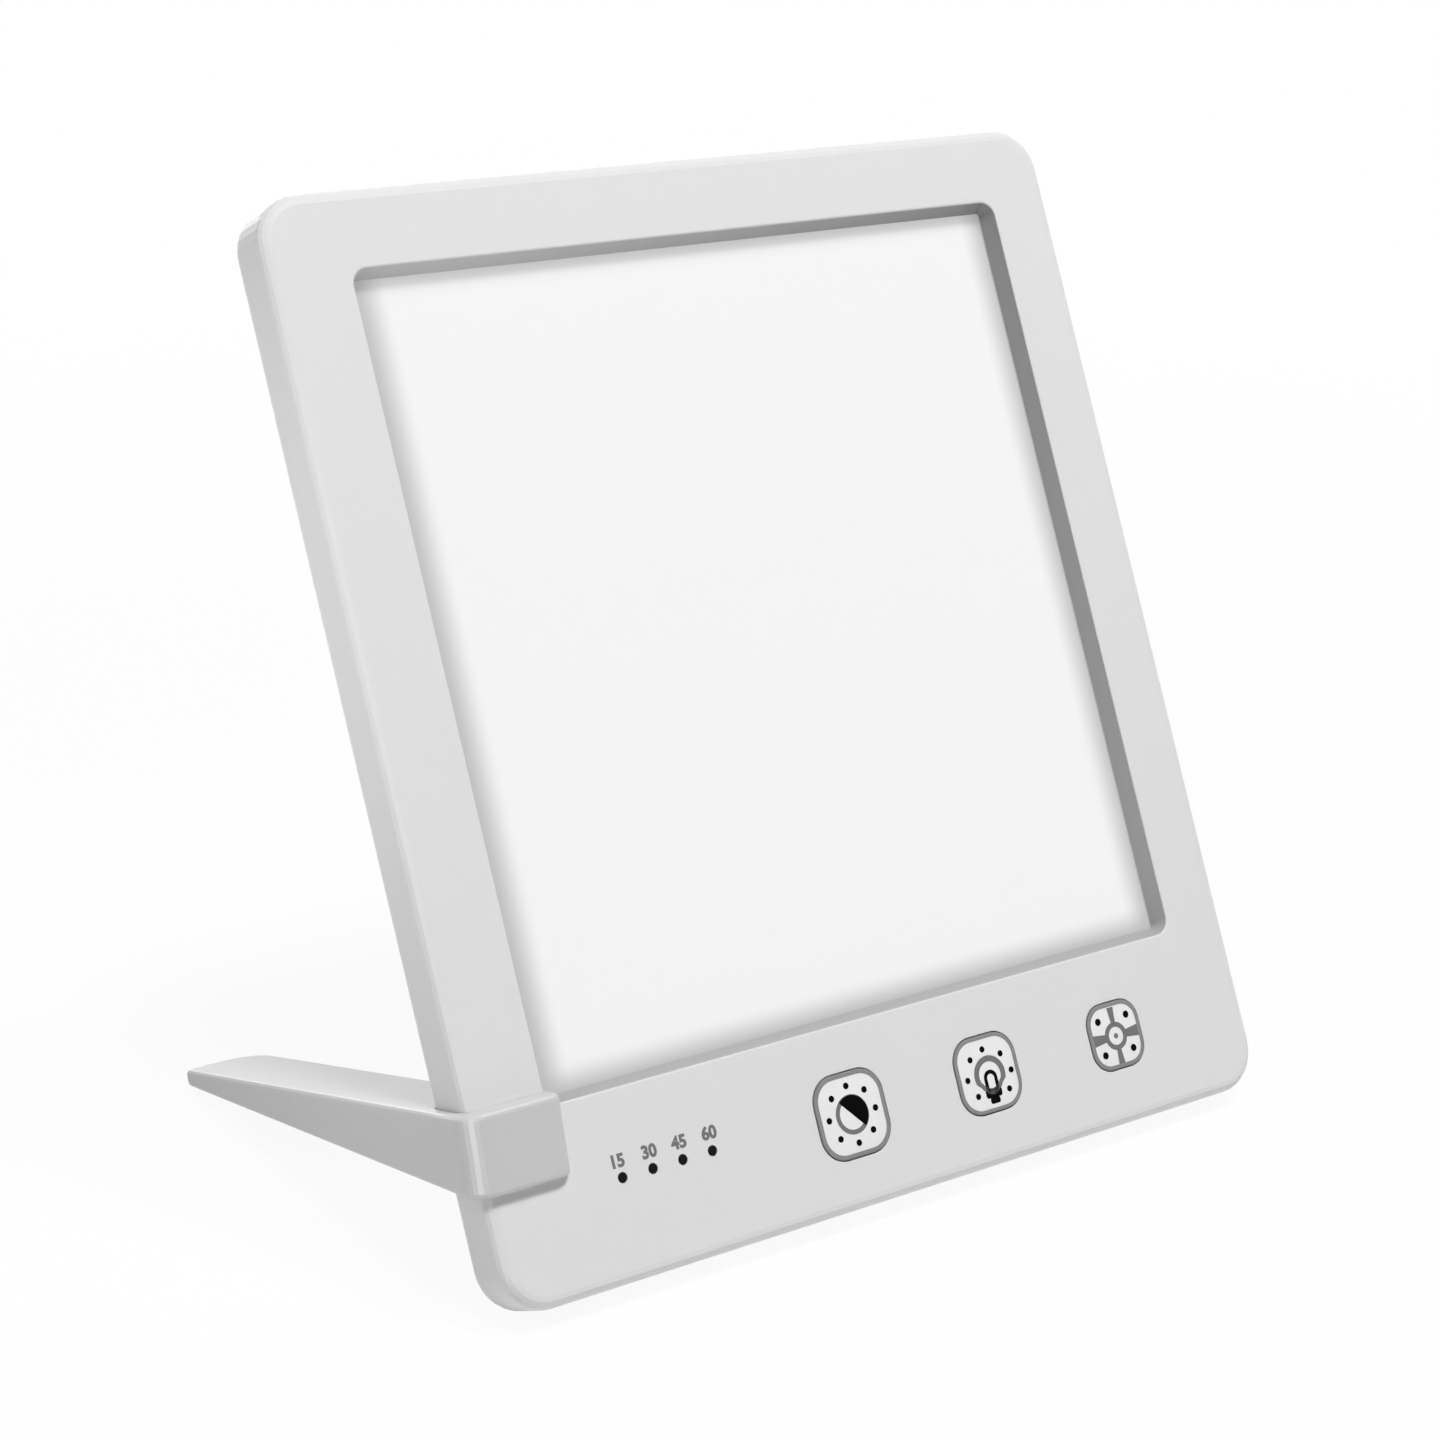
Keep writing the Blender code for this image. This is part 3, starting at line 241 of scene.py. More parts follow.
def addMix(tree, share, first, second):
    node = addNode(tree, "ShaderNodeMix", data_type="RGBA")
    for label, item in (("Factor", share), ("A", first), ("B", second)):
        socket = next(one for one in node.inputs if one.name == label and one.enabled)
        feed(tree, socket, (*item, 1) if isinstance(item, tuple) else item)
    return next(one for one in node.outputs if one.enabled)


mould = {
    "layers": 3.0, "grainStrength": 0.6,  # of the fine grain's noise
    "cloudScale": 22.0, "cloudStrength": 0.5,  # of the slow patches under it
    "levels": (0.35, 0.65),  # noise levels over which the gloss goes from low to high
}


def makeMouldGrain():
    # The fine sparked grain of a moulding tool, with slow uneven tone and gloss under it.
    group, start, end = newGroup(
        "mouldGrain",
        (
            ("Vector", "NodeSocketVector", None),
            ("Colour", "NodeSocketColor", (0.8, 0.8, 0.8, 1)),
            ("Grain Scale", "NodeSocketFloat", 2600.0),
            ("Unevenness", "NodeSocketFloat", 0.02),
            ("Gloss Low", "NodeSocketFloat", 0.4),
            ("Gloss High", "NodeSocketFloat", 0.5),
        ),
        (
            ("Colour", "NodeSocketColor"),
            ("Roughness", "NodeSocketFloat"),
            ("Height", "NodeSocketFloat"),
        ),
    )
    grain = addNode(
        group, "ShaderNodeTexNoise", detail=mould["layers"], roughness=mould["grainStrength"],
    )
    cloud = addNode(
        group, "ShaderNodeTexNoise",
        scale=mould["cloudScale"], detail=mould["layers"], roughness=mould["cloudStrength"],
    )
    group.links.new(start.outputs["Vector"], grain.inputs["Vector"])
    group.links.new(start.outputs["Grain Scale"], grain.inputs["Scale"])
    group.links.new(start.outputs["Vector"], cloud.inputs["Vector"])
    level = 1.0
    for noise in (cloud, grain):
        swing = addMath(group, "SUBTRACT", noise.outputs[0], 0.5)
        swing = addMath(group, "MULTIPLY", swing, start.outputs["Unevenness"])
        level = addMath(group, "ADD", swing, level)
    tone = addNode(group, "ShaderNodeVectorMath", operation="SCALE")
    group.links.new(start.outputs["Colour"], tone.inputs[0])
    group.links.new(level, tone.inputs["Scale"])
    half = addMath(group, "MULTIPLY", cloud.outputs[0], 0.5)
    both = addMath(group, "MULTIPLY_ADD", grain.outputs[0], 0.5, half)
    gloss = addRange(
        group, both, *mould["levels"], start.outputs["Gloss Low"], start.outputs["Gloss High"],
    )
    group.links.new(tone.outputs[0], end.inputs["Colour"])
    group.links.new(gloss, end.inputs["Roughness"])
    group.links.new(grain.outputs[0], end.inputs["Height"])
    return group


def makePanelPlace():
    # Turns a place in the lamp's own space into millimetres on the panel: across, up and out.
    group, start, end = newGroup(
        "panelPlace",
        (("Vector", "NodeSocketVector", None),),
        (("Across", "NodeSocketFloat"), ("Up", "NodeSocketFloat"), ("Out", "NodeSocketFloat")),
    )
    shift = addNode(group, "ShaderNodeVectorMath", operation="SUBTRACT")
    shift.inputs[1].default_value = panel["corner"]
    turn = addNode(group, "ShaderNodeVectorRotate", rotation_type="X_AXIS", angle=-leanTurn)
    grow = addNode(group, "ShaderNodeVectorMath", operation="SCALE", scale=1000)
    parts = group.nodes.new("ShaderNodeSeparateXYZ")
    group.links.new(start.outputs["Vector"], shift.inputs[0])
    group.links.new(shift.outputs[0], turn.inputs["Vector"])
    group.links.new(turn.outputs[0], grow.inputs[0])
    group.links.new(grow.outputs[0], parts.inputs[0])
    for axis, label in zip("XYZ", ("Across", "Up", "Out")):
        group.links.new(parts.outputs[axis], end.inputs[label])
    return group


mouldGrain = makeMouldGrain()
panelPlace = makePanelPlace()
plasticBend = 1.49  # how strongly plastics bend light


def newFinish(name):
    material = bpy.data.materials.new(name)
    material.use_nodes = True
    tree = material.node_tree
    shader = tree.nodes["Principled BSDF"]
    place = tree.nodes.new("ShaderNodeTexCoord")
    return material, tree, shader, place.outputs["Object"]


def addGroup(tree, group, place):
    node = tree.nodes.new("ShaderNodeGroup")
    node.node_tree = group
    tree.links.new(place, node.inputs["Vector"])
    return node


def panelVector(tree, at):
    # Across, up and out as one vector for a texture.
    node = tree.nodes.new("ShaderNodeCombineXYZ")
    for axis, label in zip("XYZ", ("Across", "Up", "Out")):
        tree.links.new(at.outputs[label], node.inputs[axis])
    return node.outputs[0]


def addBump(tree, shader, height, depth):
    bump = tree.nodes.new("ShaderNodeBump")
    bump.inputs["Strength"].default_value = 1.0
    bump.inputs["Distance"].default_value = depth
    tree.links.new(height, bump.inputs["Height"])
    tree.links.new(bump.outputs[0], shader.inputs["Normal"])


def wearGrain(tree, shader, place, look, colour):
    # Plastic with the mould grain in its colour, gloss and surface.
    grain = addGroup(tree, mouldGrain, place)
    feed(tree, grain.inputs["Colour"], colour)
    grain.inputs["Grain Scale"].default_value = look["grains"]
    grain.inputs["Unevenness"].default_value = look["unevenness"]
    grain.inputs["Gloss Low"].default_value = look["gloss"][0]
    grain.inputs["Gloss High"].default_value = look["gloss"][1]
    tree.links.new(grain.outputs["Colour"], shader.inputs["Base Color"])
    tree.links.new(grain.outputs["Roughness"], shader.inputs["Roughness"])
    addBump(tree, shader, grain.outputs["Height"], look["depth"])
    shader.inputs["IOR"].default_value = plasticBend
    shader.inputs["Specular IOR Level"].default_value = look["shine"]


# Plain mouldings, rubber, film and printed inks

plainLook = {
    "grains": 2600,  # across a metre
    "unevenness": 0.02,
    "depth": 0.00001,
    "shine": 0.5,
}
plainFinishes = {  # what each changes in the plain look, with its tone and its gloss from and to
    "coverMoulded": {
        "tone": grey(0.75), "gloss": (0.42, 0.56), "grains": 1800, "unevenness": 0.03,
    },
    "standMoulded": {"tone": grey(0.575), "gloss": (0.40, 0.50), "shine": 1.0},
    "keyMoulded": {
        "tone": grey(0.87), "gloss": (0.42, 0.50), "grains": 3600, "unevenness": 0.012,
        "depth": 0.000006, "shine": 0.2,
    },
    "switchNylon": {
        "tone": grey(0.035), "gloss": (0.40, 0.55), "grains": 3000, "unevenness": 0.10,
    },
    "socketNylon": {
        "tone": grey(0.03), "gloss": (0.35, 0.50), "grains": 3000, "unevenness": 0.10,
    },
    "padRubber": {
        "tone": grey(0.10), "gloss": (0.72, 0.92), "grains": 1500, "unevenness": 0.16,
        "depth": 0.00004,
    },
    "ringInk": {
        "tone": grey(0.25), "gloss": (0.50, 0.62), "grains": 5200, "unevenness": 0.06,
        "depth": 0.000004, "shine": 0.3,
    },
    "greyInk": {
        "tone": grey(0.18), "gloss": (0.55, 0.68), "grains": 5200, "unevenness": 0.06,
        "depth": 0.000004, "shine": 0.2,
    },
    "blackInk": {
        "tone": grey(0.003), "gloss": (0.60, 0.72), "grains": 5200, "unevenness": 0.10,
        "depth": 0.000004, "shine": 0.02,
    },
    "reflectorFilm": {"tone": grey(0.88), "gloss": (0.50, 0.62), "grains": 900},
    "leadInsulation": {
        "tone": (0.42, 0.03, 0.025), "gloss": (0.35, 0.45), "grains": 1800, "unevenness": 0.08,
    },
    "lensSmoked": {
        "tone": grey(0.004), "gloss": (0.30, 0.40), "grains": 4000, "unevenness": 0.05,
        "depth": 0.000002, "shine": 0.1,
    },
}


def plainFinish(name, look):
    material, tree, shader, place = newFinish(name)
    wearGrain(tree, shader, place, {**plainLook, **look}, (*look["tone"], 1))
    material.diffuse_color = (*look["tone"], 1)
    return material


finishes = {name: plainFinish(name, look) for name, look in plainFinishes.items()}
print("plain finishes made")


# Housing: the window's inner wall is given painted shade, a darker grey than the bezel and darkest at
# its upper right

windowEdges = {"left": 18.2, "right": 183.9, "low": 38.4, "high": 208.4}  # mm on the panel
housing = {
    "tone": grey(0.765),
    "gloss": (0.38, 0.48), "grains": 2600, "unevenness": 0.02, "depth": 0.00001, "shine": 0.20,
    # painted shade on the window's inner wall: lighter low down and at the upper left, darkest at the
    # upper right
    "wallShadeLow": grey(0.40),
    "wallShadeHighLeft": grey(0.60),
    "wallShadeHighRight": grey(0.29),
    "wallTop": -0.10, "wallFull": -0.40,  # mm below the face where the wall's painted shade sets in
    "wallOutset": 0.6,  # mm outside the window's edges, so that the whole wall has it
    "wallRise": 0.1,  # mm
}


def insideWindow(tree, at, starts, rises):
    # Comes up from zero to one inside the window. Starts and rises, in mm: left, right, low, high.
    across, up = at.outputs["Across"], at.outputs["Up"]
    sides = (
        addMath(tree, "SUBTRACT", across, windowEdges["left"] + starts[0]),
        addMath(tree, "SUBTRACT", windowEdges["right"] - starts[1], across),
        addMath(tree, "SUBTRACT", up, windowEdges["low"] + starts[2]),
        addMath(tree, "SUBTRACT", windowEdges["high"] - starts[3], up),
    )
    level = 1.0
    for side, rise in zip(sides, rises):
        share = addRange(tree, side, 0, rise, smooth=True)
        level = addMath(tree, "MULTIPLY", level, share)
    return level


def housingFinish():
    material, tree, shader, place = newFinish("housingMoulded")
    at = addGroup(tree, panelPlace, place)
    inside = insideWindow(tree, at, (-housing["wallOutset"],) * 4, (housing["wallRise"],) * 4)
    deep = addRange(tree, at.outputs["Out"], housing["wallTop"], housing["wallFull"])
    wall = addMath(tree, "MULTIPLY", inside, deep)
    rightward = addRange(tree, at.outputs["Across"], windowEdges["left"], windowEdges["right"])
    upward = addRange(tree, at.outputs["Up"], windowEdges["low"], windowEdges["high"])
    # painted shade: the wall's tone darkens from the low side and the upper left towards the upper
    # right
    high = addMix(tree, rightward, housing["wallShadeHighLeft"], housing["wallShadeHighRight"])
    wallShade = addMix(tree, upward, housing["wallShadeLow"], high)
    wearGrain(tree, shader, place, housing, addMix(tree, wall, housing["tone"], wallShade))
    material.diffuse_color = (*housing["tone"], 1)
    return material


finishes["housingMoulded"] = housingFinish()


# Diffuser: an opal sheet, lit from behind, with its tone and glow falling off along the window's
# edges as painted shade

diffuser = {
    "tone": 0.30, "glow": 0.62,
    "edgeShadeTone": 0.85, "edgeShadeGlow": 0.48,  # shares of them that are left at the window's edges, where the falloff is painted shade
    "insets": (1.8, -0.1, 0.1, -4.0),  # mm inside the left, right, low and high edge, where it starts
    "fades": (8.0, 8.5, 7.5, 11.0),  # mm over which it comes up
    "gloss": (0.58, 0.68), "grains": 4200, "unevenness": 0.008, "depth": 0.000006, "shine": 0.04,
}


def opalFinish():
    material, tree, shader, place = newFinish("opalDiffuser")
    at = addGroup(tree, panelPlace, place)
    # painted shade: tone and glow fall off towards the window's edges
    level = insideWindow(tree, at, diffuser["insets"], diffuser["fades"])
    tone = diffuser["tone"]
    colour = addMix(tree, level, grey(tone * diffuser["edgeShadeTone"]), grey(tone))
    wearGrain(tree, shader, place, diffuser, colour)
    glow = addMix(tree, level, grey(diffuser["edgeShadeGlow"]), grey(1))
    tree.links.new(glow, shader.inputs["Emission Color"])
    shader.inputs["Emission Strength"].default_value = diffuser["glow"]
    return material


finishes["opalDiffuser"] = opalFinish()
print("housing and diffuser finishes made")


# Layers and fittings inside the housing

guide = {
    "tone": (0.90, 0.93, 0.95), "dotTone": grey(0.97),
    "pitch": 2.2,  # mm between the printed dots
    "stray": 0.15,  # how unevenly they lie
    "dotEdge": (0.25, 0.32),  # where a dot ends, in shares of the pitch
    "gloss": 0.06, "dotGloss": 0.5, "dotHeight": 0.00002,
    "clear": 0.7,  # share of the light that goes through
}


def guideFinish():
    material, tree, shader, place = newFinish("guideAcrylic")
    at = addGroup(tree, panelPlace, place)
    cells = addNode(
        tree, "ShaderNodeTexVoronoi", scale=1 / guide["pitch"], randomness=guide["stray"],
    )
    tree.links.new(panelVector(tree, at), cells.inputs["Vector"])
    dots = addRange(tree, cells.outputs["Distance"], *guide["dotEdge"], 1, 0)
    tone = addMix(tree, dots, guide["tone"], guide["dotTone"])
    gloss = addRange(tree, dots, 0, 1, guide["gloss"], guide["dotGloss"])
    tree.links.new(tone, shader.inputs["Base Color"])
    tree.links.new(gloss, shader.inputs["Roughness"])
    addBump(tree, shader, dots, guide["dotHeight"])
    shader.inputs["Transmission Weight"].default_value = guide["clear"]
    shader.inputs["IOR"].default_value = plasticBend
    return material


foam = {
    "cells": 2800.0,  # across a metre
    "walls": (0.1, 0.7), "dark": grey(0.02), "light": grey(0.11),
    "gloss": (0.95, 0.8), "depth": 0.0001,
}


def foamFinish():
    material, tree, shader, place = newFinish("gasketFoam")
    cells = addNode(tree, "ShaderNodeTexVoronoi", scale=foam["cells"])
    tree.links.new(place, cells.inputs["Vector"])
    distance = cells.outputs["Distance"]
    tone = addMix(tree, addRange(tree, distance, *foam["walls"]), foam["dark"], foam["light"])
    tree.links.new(tone, shader.inputs["Base Color"])
    tree.links.new(addRange(tree, distance, 0, 1, *foam["gloss"]), shader.inputs["Roughness"])
    addBump(tree, shader, distance, foam["depth"])
    return material


metals = {  # tone, gloss, how closely the lines lie across, up and out, and their scale
    "plateAluminium": ((0.72, 0.73, 0.74), (0.30, 0.44), (0.15, 4, 4), 1.2),
    "screwSteel": ((0.62, 0.62, 0.63), (0.22, 0.36), (3, 3, 3), 2.5),
    "contactBrass": ((0.78, 0.62, 0.30), (0.18, 0.30), (1, 6, 6), 2.0),
}
metalLines = {
    "darker": 0.86, "layers": 5.0, "strength": 0.65, "levels": (0.3, 0.7), "depth": 0.00001,
}


def metalFinish(name, tone, gloss, stretch, scale):
    material, tree, shader, place = newFinish(name)
    at = addGroup(tree, panelPlace, place)
    lay = tree.nodes.new("ShaderNodeMapping")
    lay.inputs["Scale"].default_value = stretch
    tree.links.new(panelVector(tree, at), lay.inputs["Vector"])
    lines = addNode(
        tree, "ShaderNodeTexNoise",
        scale=scale, detail=metalLines["layers"], roughness=metalLines["strength"],
    )
    tree.links.new(lay.outputs[0], lines.inputs["Vector"])
    level = addRange(tree, lines.outputs[0], *metalLines["levels"])
    darker = tuple(part * metalLines["darker"] for part in tone)
    tree.links.new(addMix(tree, level, darker, tone), shader.inputs["Base Color"])
    rough = addRange(tree, lines.outputs[0], *metalLines["levels"], gloss[1], gloss[0])
    tree.links.new(rough, shader.inputs["Roughness"])
    addBump(tree, shader, lines.outputs[0], metalLines["depth"])
    shader.inputs["Metallic"].default_value = 1
    return material


strip = {
    "pitch": 7.0, "length": 3.0,  # mm between the LEDs, and along each
    "lampEdge": (0.72, 0.80),  # where an LED's yellow face ends, in shares of its half length
    "board": ((0.74, 0.74, 0.72), (0.86, 0.86, 0.84)), "lamp": (0.86, 0.72, 0.20),
    "gloss": 0.45, "lampGloss": 0.28,
    "grains": 2.2, "layers": 4.0, "depth": 0.00002,
}


def stripFinish():
    material, tree, shader, place = newFinish("stripBoard")
    at = addGroup(tree, panelPlace, place)
    middle = (windowEdges["low"] + windowEdges["high"]) / 2
    along = addMath(tree, "SUBTRACT", at.outputs["Up"], middle)
    turn = addMath(tree, "DIVIDE", along, strip["pitch"])
    whole = addMath(tree, "ROUND", turn)
    near = addMath(tree, "ABSOLUTE", addMath(tree, "SUBTRACT", turn, whole))
    share = strip["length"] / strip["pitch"] / 2
    lamp = addRange(tree, near, *(share * edge for edge in strip["lampEdge"]), 1, 0)
    grain = addNode(tree, "ShaderNodeTexNoise", scale=strip["grains"], detail=strip["layers"])
    tree.links.new(panelVector(tree, at), grain.inputs["Vector"])
    plain = addMix(tree, grain.outputs[0], *strip["board"])
    tree.links.new(addMix(tree, lamp, plain, strip["lamp"]), shader.inputs["Base Color"])
    gloss = addRange(tree, lamp, 0, 1, strip["gloss"], strip["lampGloss"])
    tree.links.new(gloss, shader.inputs["Roughness"])
    addBump(tree, shader, grain.outputs[0], strip["depth"])
    return material


board = {
    "partsFrom": -8.58, "partsTo": -8.52,  # mm out of the face: the board's back lies above this
    "mask": ((0.012, 0.085, 0.035), (0.03, 0.16, 0.07)),
    "parts": ((0.016, 0.016, 0.017), (0.04, 0.04, 0.042)),
    "trackScale": 0.42, "gap": 0.06, "gapSoftness": 0.1,
    "grains": 3.0, "layers": 4.0, "levels": (0.3, 0.7), "gloss": (0.28, 0.42), "depth": 0.00003,
}


def boardFinish():
    material, tree, shader, place = newFinish("circuitBoard")
    at = addGroup(tree, panelPlace, place)
    tracks = addNode(
        tree, "ShaderNodeTexBrick",
        scale=board["trackScale"], mortar_size=board["gap"], mortar_smooth=board["gapSoftness"],
    )
    tree.links.new(panelVector(tree, at), tracks.inputs["Vector"])
    mask = addMix(tree, tracks.outputs["Fac"], *board["mask"])
    parts = addRange(tree, at.outputs["Out"], board["partsFrom"], board["partsTo"], 1, 0)
    grain = addNode(tree, "ShaderNodeTexNoise", scale=board["grains"], detail=board["layers"])
    tree.links.new(panelVector(tree, at), grain.inputs["Vector"])
    body = addMix(tree, grain.outputs[0], *board["parts"])
    tree.links.new(addMix(tree, parts, mask, body), shader.inputs["Base Color"])
    gloss = addRange(tree, grain.outputs[0], *board["levels"], *board["gloss"])
    tree.links.new(gloss, shader.inputs["Roughness"])
    addBump(tree, shader, tracks.outputs["Fac"], board["depth"])
    return material


finishes["guideAcrylic"] = guideFinish()
finishes["gasketFoam"] = foamFinish()
finishes["stripBoard"] = stripFinish()
finishes["circuitBoard"] = boardFinish()
for metalName, look in metals.items():
    finishes[metalName] = metalFinish(metalName, *look)
print("inner finishes made")

nodeFinishes = {  # by how a part's name starts; the longest match counts
    "front_frame": "housingMoulded", "rear_cover": "coverMoulded", "stand_clip": "standMoulded",
    "diffuser_panel": "opalDiffuser", "diffuser_gasket": "gasketFoam",
    "light_guide_plate": "guideAcrylic", "reflector_sheet": "reflectorFilm",
    "backing_plate": "plateAluminium", "led_strip_": "stripBoard",
    "control_board": "circuitBoard", "strip_lead_": "leadInsulation",
    "board_screw_": "screwSteel", "cover_screw_": "screwSteel",
    "tact_switch_": "switchNylon", "switch_plunger_": "switchNylon",
    "dc_socket": "socketNylon", "dc_socket_pin": "contactBrass",
    "foot_": "padRubber", "grip_pad_": "padRubber", "stand_foot": "padRubber",
    "key_": "keyMoulded", "indicator_lens_": "lensSmoked",
}
for nodeName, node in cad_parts.items():
    match = max((start for start in nodeFinishes if nodeName.startswith(start)), key=len)
    finish = finishes[nodeFinishes[match]]
    if node.material_slots:
        node.material_slots[0].material = finish
    else:
        node.data.materials.append(finish)
print("finishes on the carried-over parts")


# Keys: a cap with a printed rim, over a retaining flange and a presser

key = {
    "row": 0.0196,  # up the panel
    "caps": {  # across the panel, width, printed rim
        "brightness": (0.0882, 0.0177, 0.00098),
        "light": (0.1249, 0.01655, 0.00085),
        "timer": (0.1616, 0.0146, 0.00092),
    },
    "cornerShare": 0.3164,  # of the width
    "cornerSteps": 10,
    "proud": 0.0002,  # above the panel's face; what lies under the face is negative
    "edge": 0.0003,
    "edgeSteps": 4,
    "skirt": -0.0025,
    "flange": -0.0035,
    "flangeLap": 0.0010,
    "presser": -0.0041,
    "presserWidth": 0.0032,
    "rimHeight": 0.00006,
    "rimSkin": 0.00003,
    "rimDepth": 0.0008,
    "rimEdge": 0.00025,
    "rimOuterShare": 0.6,  # of the rim's width, that tells its outer edge from its inner one
}


def roundedPlate(name, width, corner, low, high):
    # A square plate with rounded upright corners.
    clearSelection()
    bpy.ops.mesh.primitive_cube_add(size=1, location=(0, 0, 0))
    openPiece(name)
    bpy.ops.transform.resize(value=(width, width, high - low))
    bpy.ops.transform.translate(value=(0, 0, (low + high) / 2))
    selectEdges(lambda middle, way: abs(way.z) > drawing["facing"])
    roundEdges(corner, key["cornerSteps"])


def makeKeyCap(name, width):
    roundedPlate(name, width, width * key["cornerShare"], key["skirt"], key["proud"])
    selectFaces(lambda middle, normal: normal.z < -drawing["facing"])
    flange = width + 2 * key["flangeLap"]
    stepTo(key["skirt"], flange / width)
    stepTo(key["flange"], 1)
    stepTo(key["flange"], key["presserWidth"] / flange)
    stepTo(key["presser"], 1)

    def isTopEdge(middle, way):
        return abs(middle.z - key["proud"]) < drawing["same"] and abs(way.z) < drawing["level"]

    selectEdges(isTopEdge)
    roundEdges(key["edge"], key["edgeSteps"])
    return closePiece()


def makeKeyRim(name, width, rim):
    # A thin grey band round the cap's face and over its edge.
    outer = width + 2 * key["rimSkin"]
    corner = width * key["cornerShare"] + key["rimSkin"]
    high = key["proud"] + key["rimHeight"]
    roundedPlate(name, outer, corner, key["proud"] - key["rimDepth"], high)
    selectFaces(lambda middle, normal: abs(normal.z) > drawing["facing"])
    bpy.ops.mesh.inset(thickness=rim)
    bpy.ops.mesh.bridge_edge_loops()
    inside = outer / 2 - rim * key["rimOuterShare"]

    def isOuterEdge(middle, way):
        return middle.z > high - drawing["same"] and max(abs(middle.x), abs(middle.y)) > inside

    selectEdges(isOuterEdge)
    roundEdges(key["rimEdge"], key["edgeSteps"])
    return closePiece()


for keyName, (across, width, rim) in key["caps"].items():
    title = keyName.title()
    body = keyName + "_key"
    cap = standUp(makeKeyCap("keyCap" + title, width), (across, key["row"], 0))
    finishPiece(cap, body, "key", "keyMoulded", "key_" + keyName)
    band = standUp(makeKeyRim("keyRim" + title, width, rim), (across, key["row"], 0))
    finishPiece(band, body, "key", "ringInk")
print("keys made")


# Icons and numbers, printed in thin ink

ink = {
    "sunk": 0.00002,  # into the face
    "thickness": 0.00005,
    "dotSides": 20,
    "ringSides": 56,
    "cornerSteps": 5,
}
inkLow = key["proud"] - ink["sunk"]  # of the print on the keys


def liftInk():
    selectAll()
    pushOut(ink["thickness"])
    return closePiece()


def addInkCircle(x, y, radius, sides):
    clearSelection()
    bpy.ops.mesh.primitive_circle_add(
        vertices=sides, radius=radius, fill_type="NGON", location=(x, y, inkLow),
    )


def inkDisc(x, y, radius, sides=ink["dotSides"]):
    addInkCircle(x, y, radius, sides)
    openPiece("inkDisc")
    return liftInk()


def inkRing(x, y, outer, stroke, shapeIt=None):
    addInkCircle(x, y, outer, ink["ringSides"])
    openPiece("inkRing")
    bpy.ops.mesh.inset(thickness=stroke)
    bpy.ops.mesh.delete(type="FACE")
    if shapeIt:
        shapeIt()
    return liftInk()


def inkBar(x, y, length, height, turn=0.0, corner=0.0, flare=1.0):
    # A flat bar; flare is the width of its far end, as a share of its near end's.
    clearSelection()
    bpy.ops.mesh.primitive_plane_add(size=1, location=(0, 0, inkLow))
    openPiece("inkBar")
    bpy.ops.transform.resize(value=(length, height, 1), center_override=(0, 0, inkLow))
    if flare != 1:
        selectEdges(lambda middle, way: middle.x > length / 2 - drawing["same"])
        bpy.ops.transform.resize(value=(1, flare, 1), center_override=(length / 2, 0, inkLow))
        bpy.ops.mesh.select_mode(type="FACE")
        selectAll()
    if corner:
        bpy.ops.mesh.bevel(offset=corner, segments=ink["cornerSteps"], affect="VERTICES")
    bar = liftInk()
    return moveMesh(bar, Matrix.Translation((x, y, 0)) @ Matrix.Rotation(turn, 4, "Z"))


def cutInk(piece, point, keep):
    # Cuts a print through a point, and keeps the side that the direction points to.
    pickOnly(piece)
    bpy.ops.object.mode_set(mode="EDIT")
    selectAll()
    bpy.ops.mesh.bisect(plane_co=point, plane_no=keep, use_fill=True, clear_inner=True)
    return closePiece()


brightnessIcon = {
    "dots": 8, "dotRadius": 0.00070, "dotCircle": 0.00605,
    "outer": 0.0042, "stroke": 0.0010,
    "halfRadius": 0.00405,
    "halfTurn": 42,  # degrees
    "halfLift": 0.000004,  # the dark half lies over the ring
}
lightIcon = {
    "dotRadius": 0.00068,
    "dots": (  # mm from the key's middle
        (-0.1, 5.3), (4.4, 3.4), (6.3, -0.6), (4.7, -4.4), (-3.9, -4.2), (-5.7, -0.3), (-3.85, 3.8),
    ),
    "bulb": (0.0004, -0.0004), "outer": 0.0042, "stroke": 0.0013,
    "neck": (  # below each height, the bulb is drawn in to this share
        (-0.0010, 0.92), (-0.0018, 0.90), (-0.0026, 0.88),
    ),
    "base": ((-0.0039, 0.0044, 0.0020), (-0.0055, 0.0026, 0.0014)),  # height, width, thickness
    "baseCornerShare": 0.32,  # of the thickness
    "filamentRadius": 0.0018, "filamentStroke": 0.00085, "filamentUp": -0.0007,
}
timerIcon = {
    "middle": (0.0, -0.0002), "outer": 0.0031, "stroke": 0.0011,
    "pin": 0.0006, "dotRadius": 0.00080, "dotAcross": 0.0041, "dotUp": 0.00378,
    "barEnd": 0.0063, "sideBar": 0.0017, "endBar": 0.0012,
    "barLap": 0.0002,
    "flare": 1.5,
}


def brightnessInk():
    icon = brightnessIcon
    reach = icon["dotCircle"]
    dark = []
    for turn in range(icon["dots"]):
        angle = math.radians(90 + 360 / icon["dots"] * turn)
        dark.append(inkDisc(reach * math.cos(angle), reach * math.sin(angle), icon["dotRadius"]))
    half = inkDisc(0, 0, icon["halfRadius"], ink["ringSides"])
    angle = math.radians(icon["halfTurn"])
    half = cutInk(half, (0, 0, 0), (math.cos(angle), math.sin(angle), 0))
    moveMesh(half, Matrix.Translation((0, 0, icon["halfLift"])))
    return dark + [half], [inkRing(0, 0, icon["outer"], icon["stroke"])]


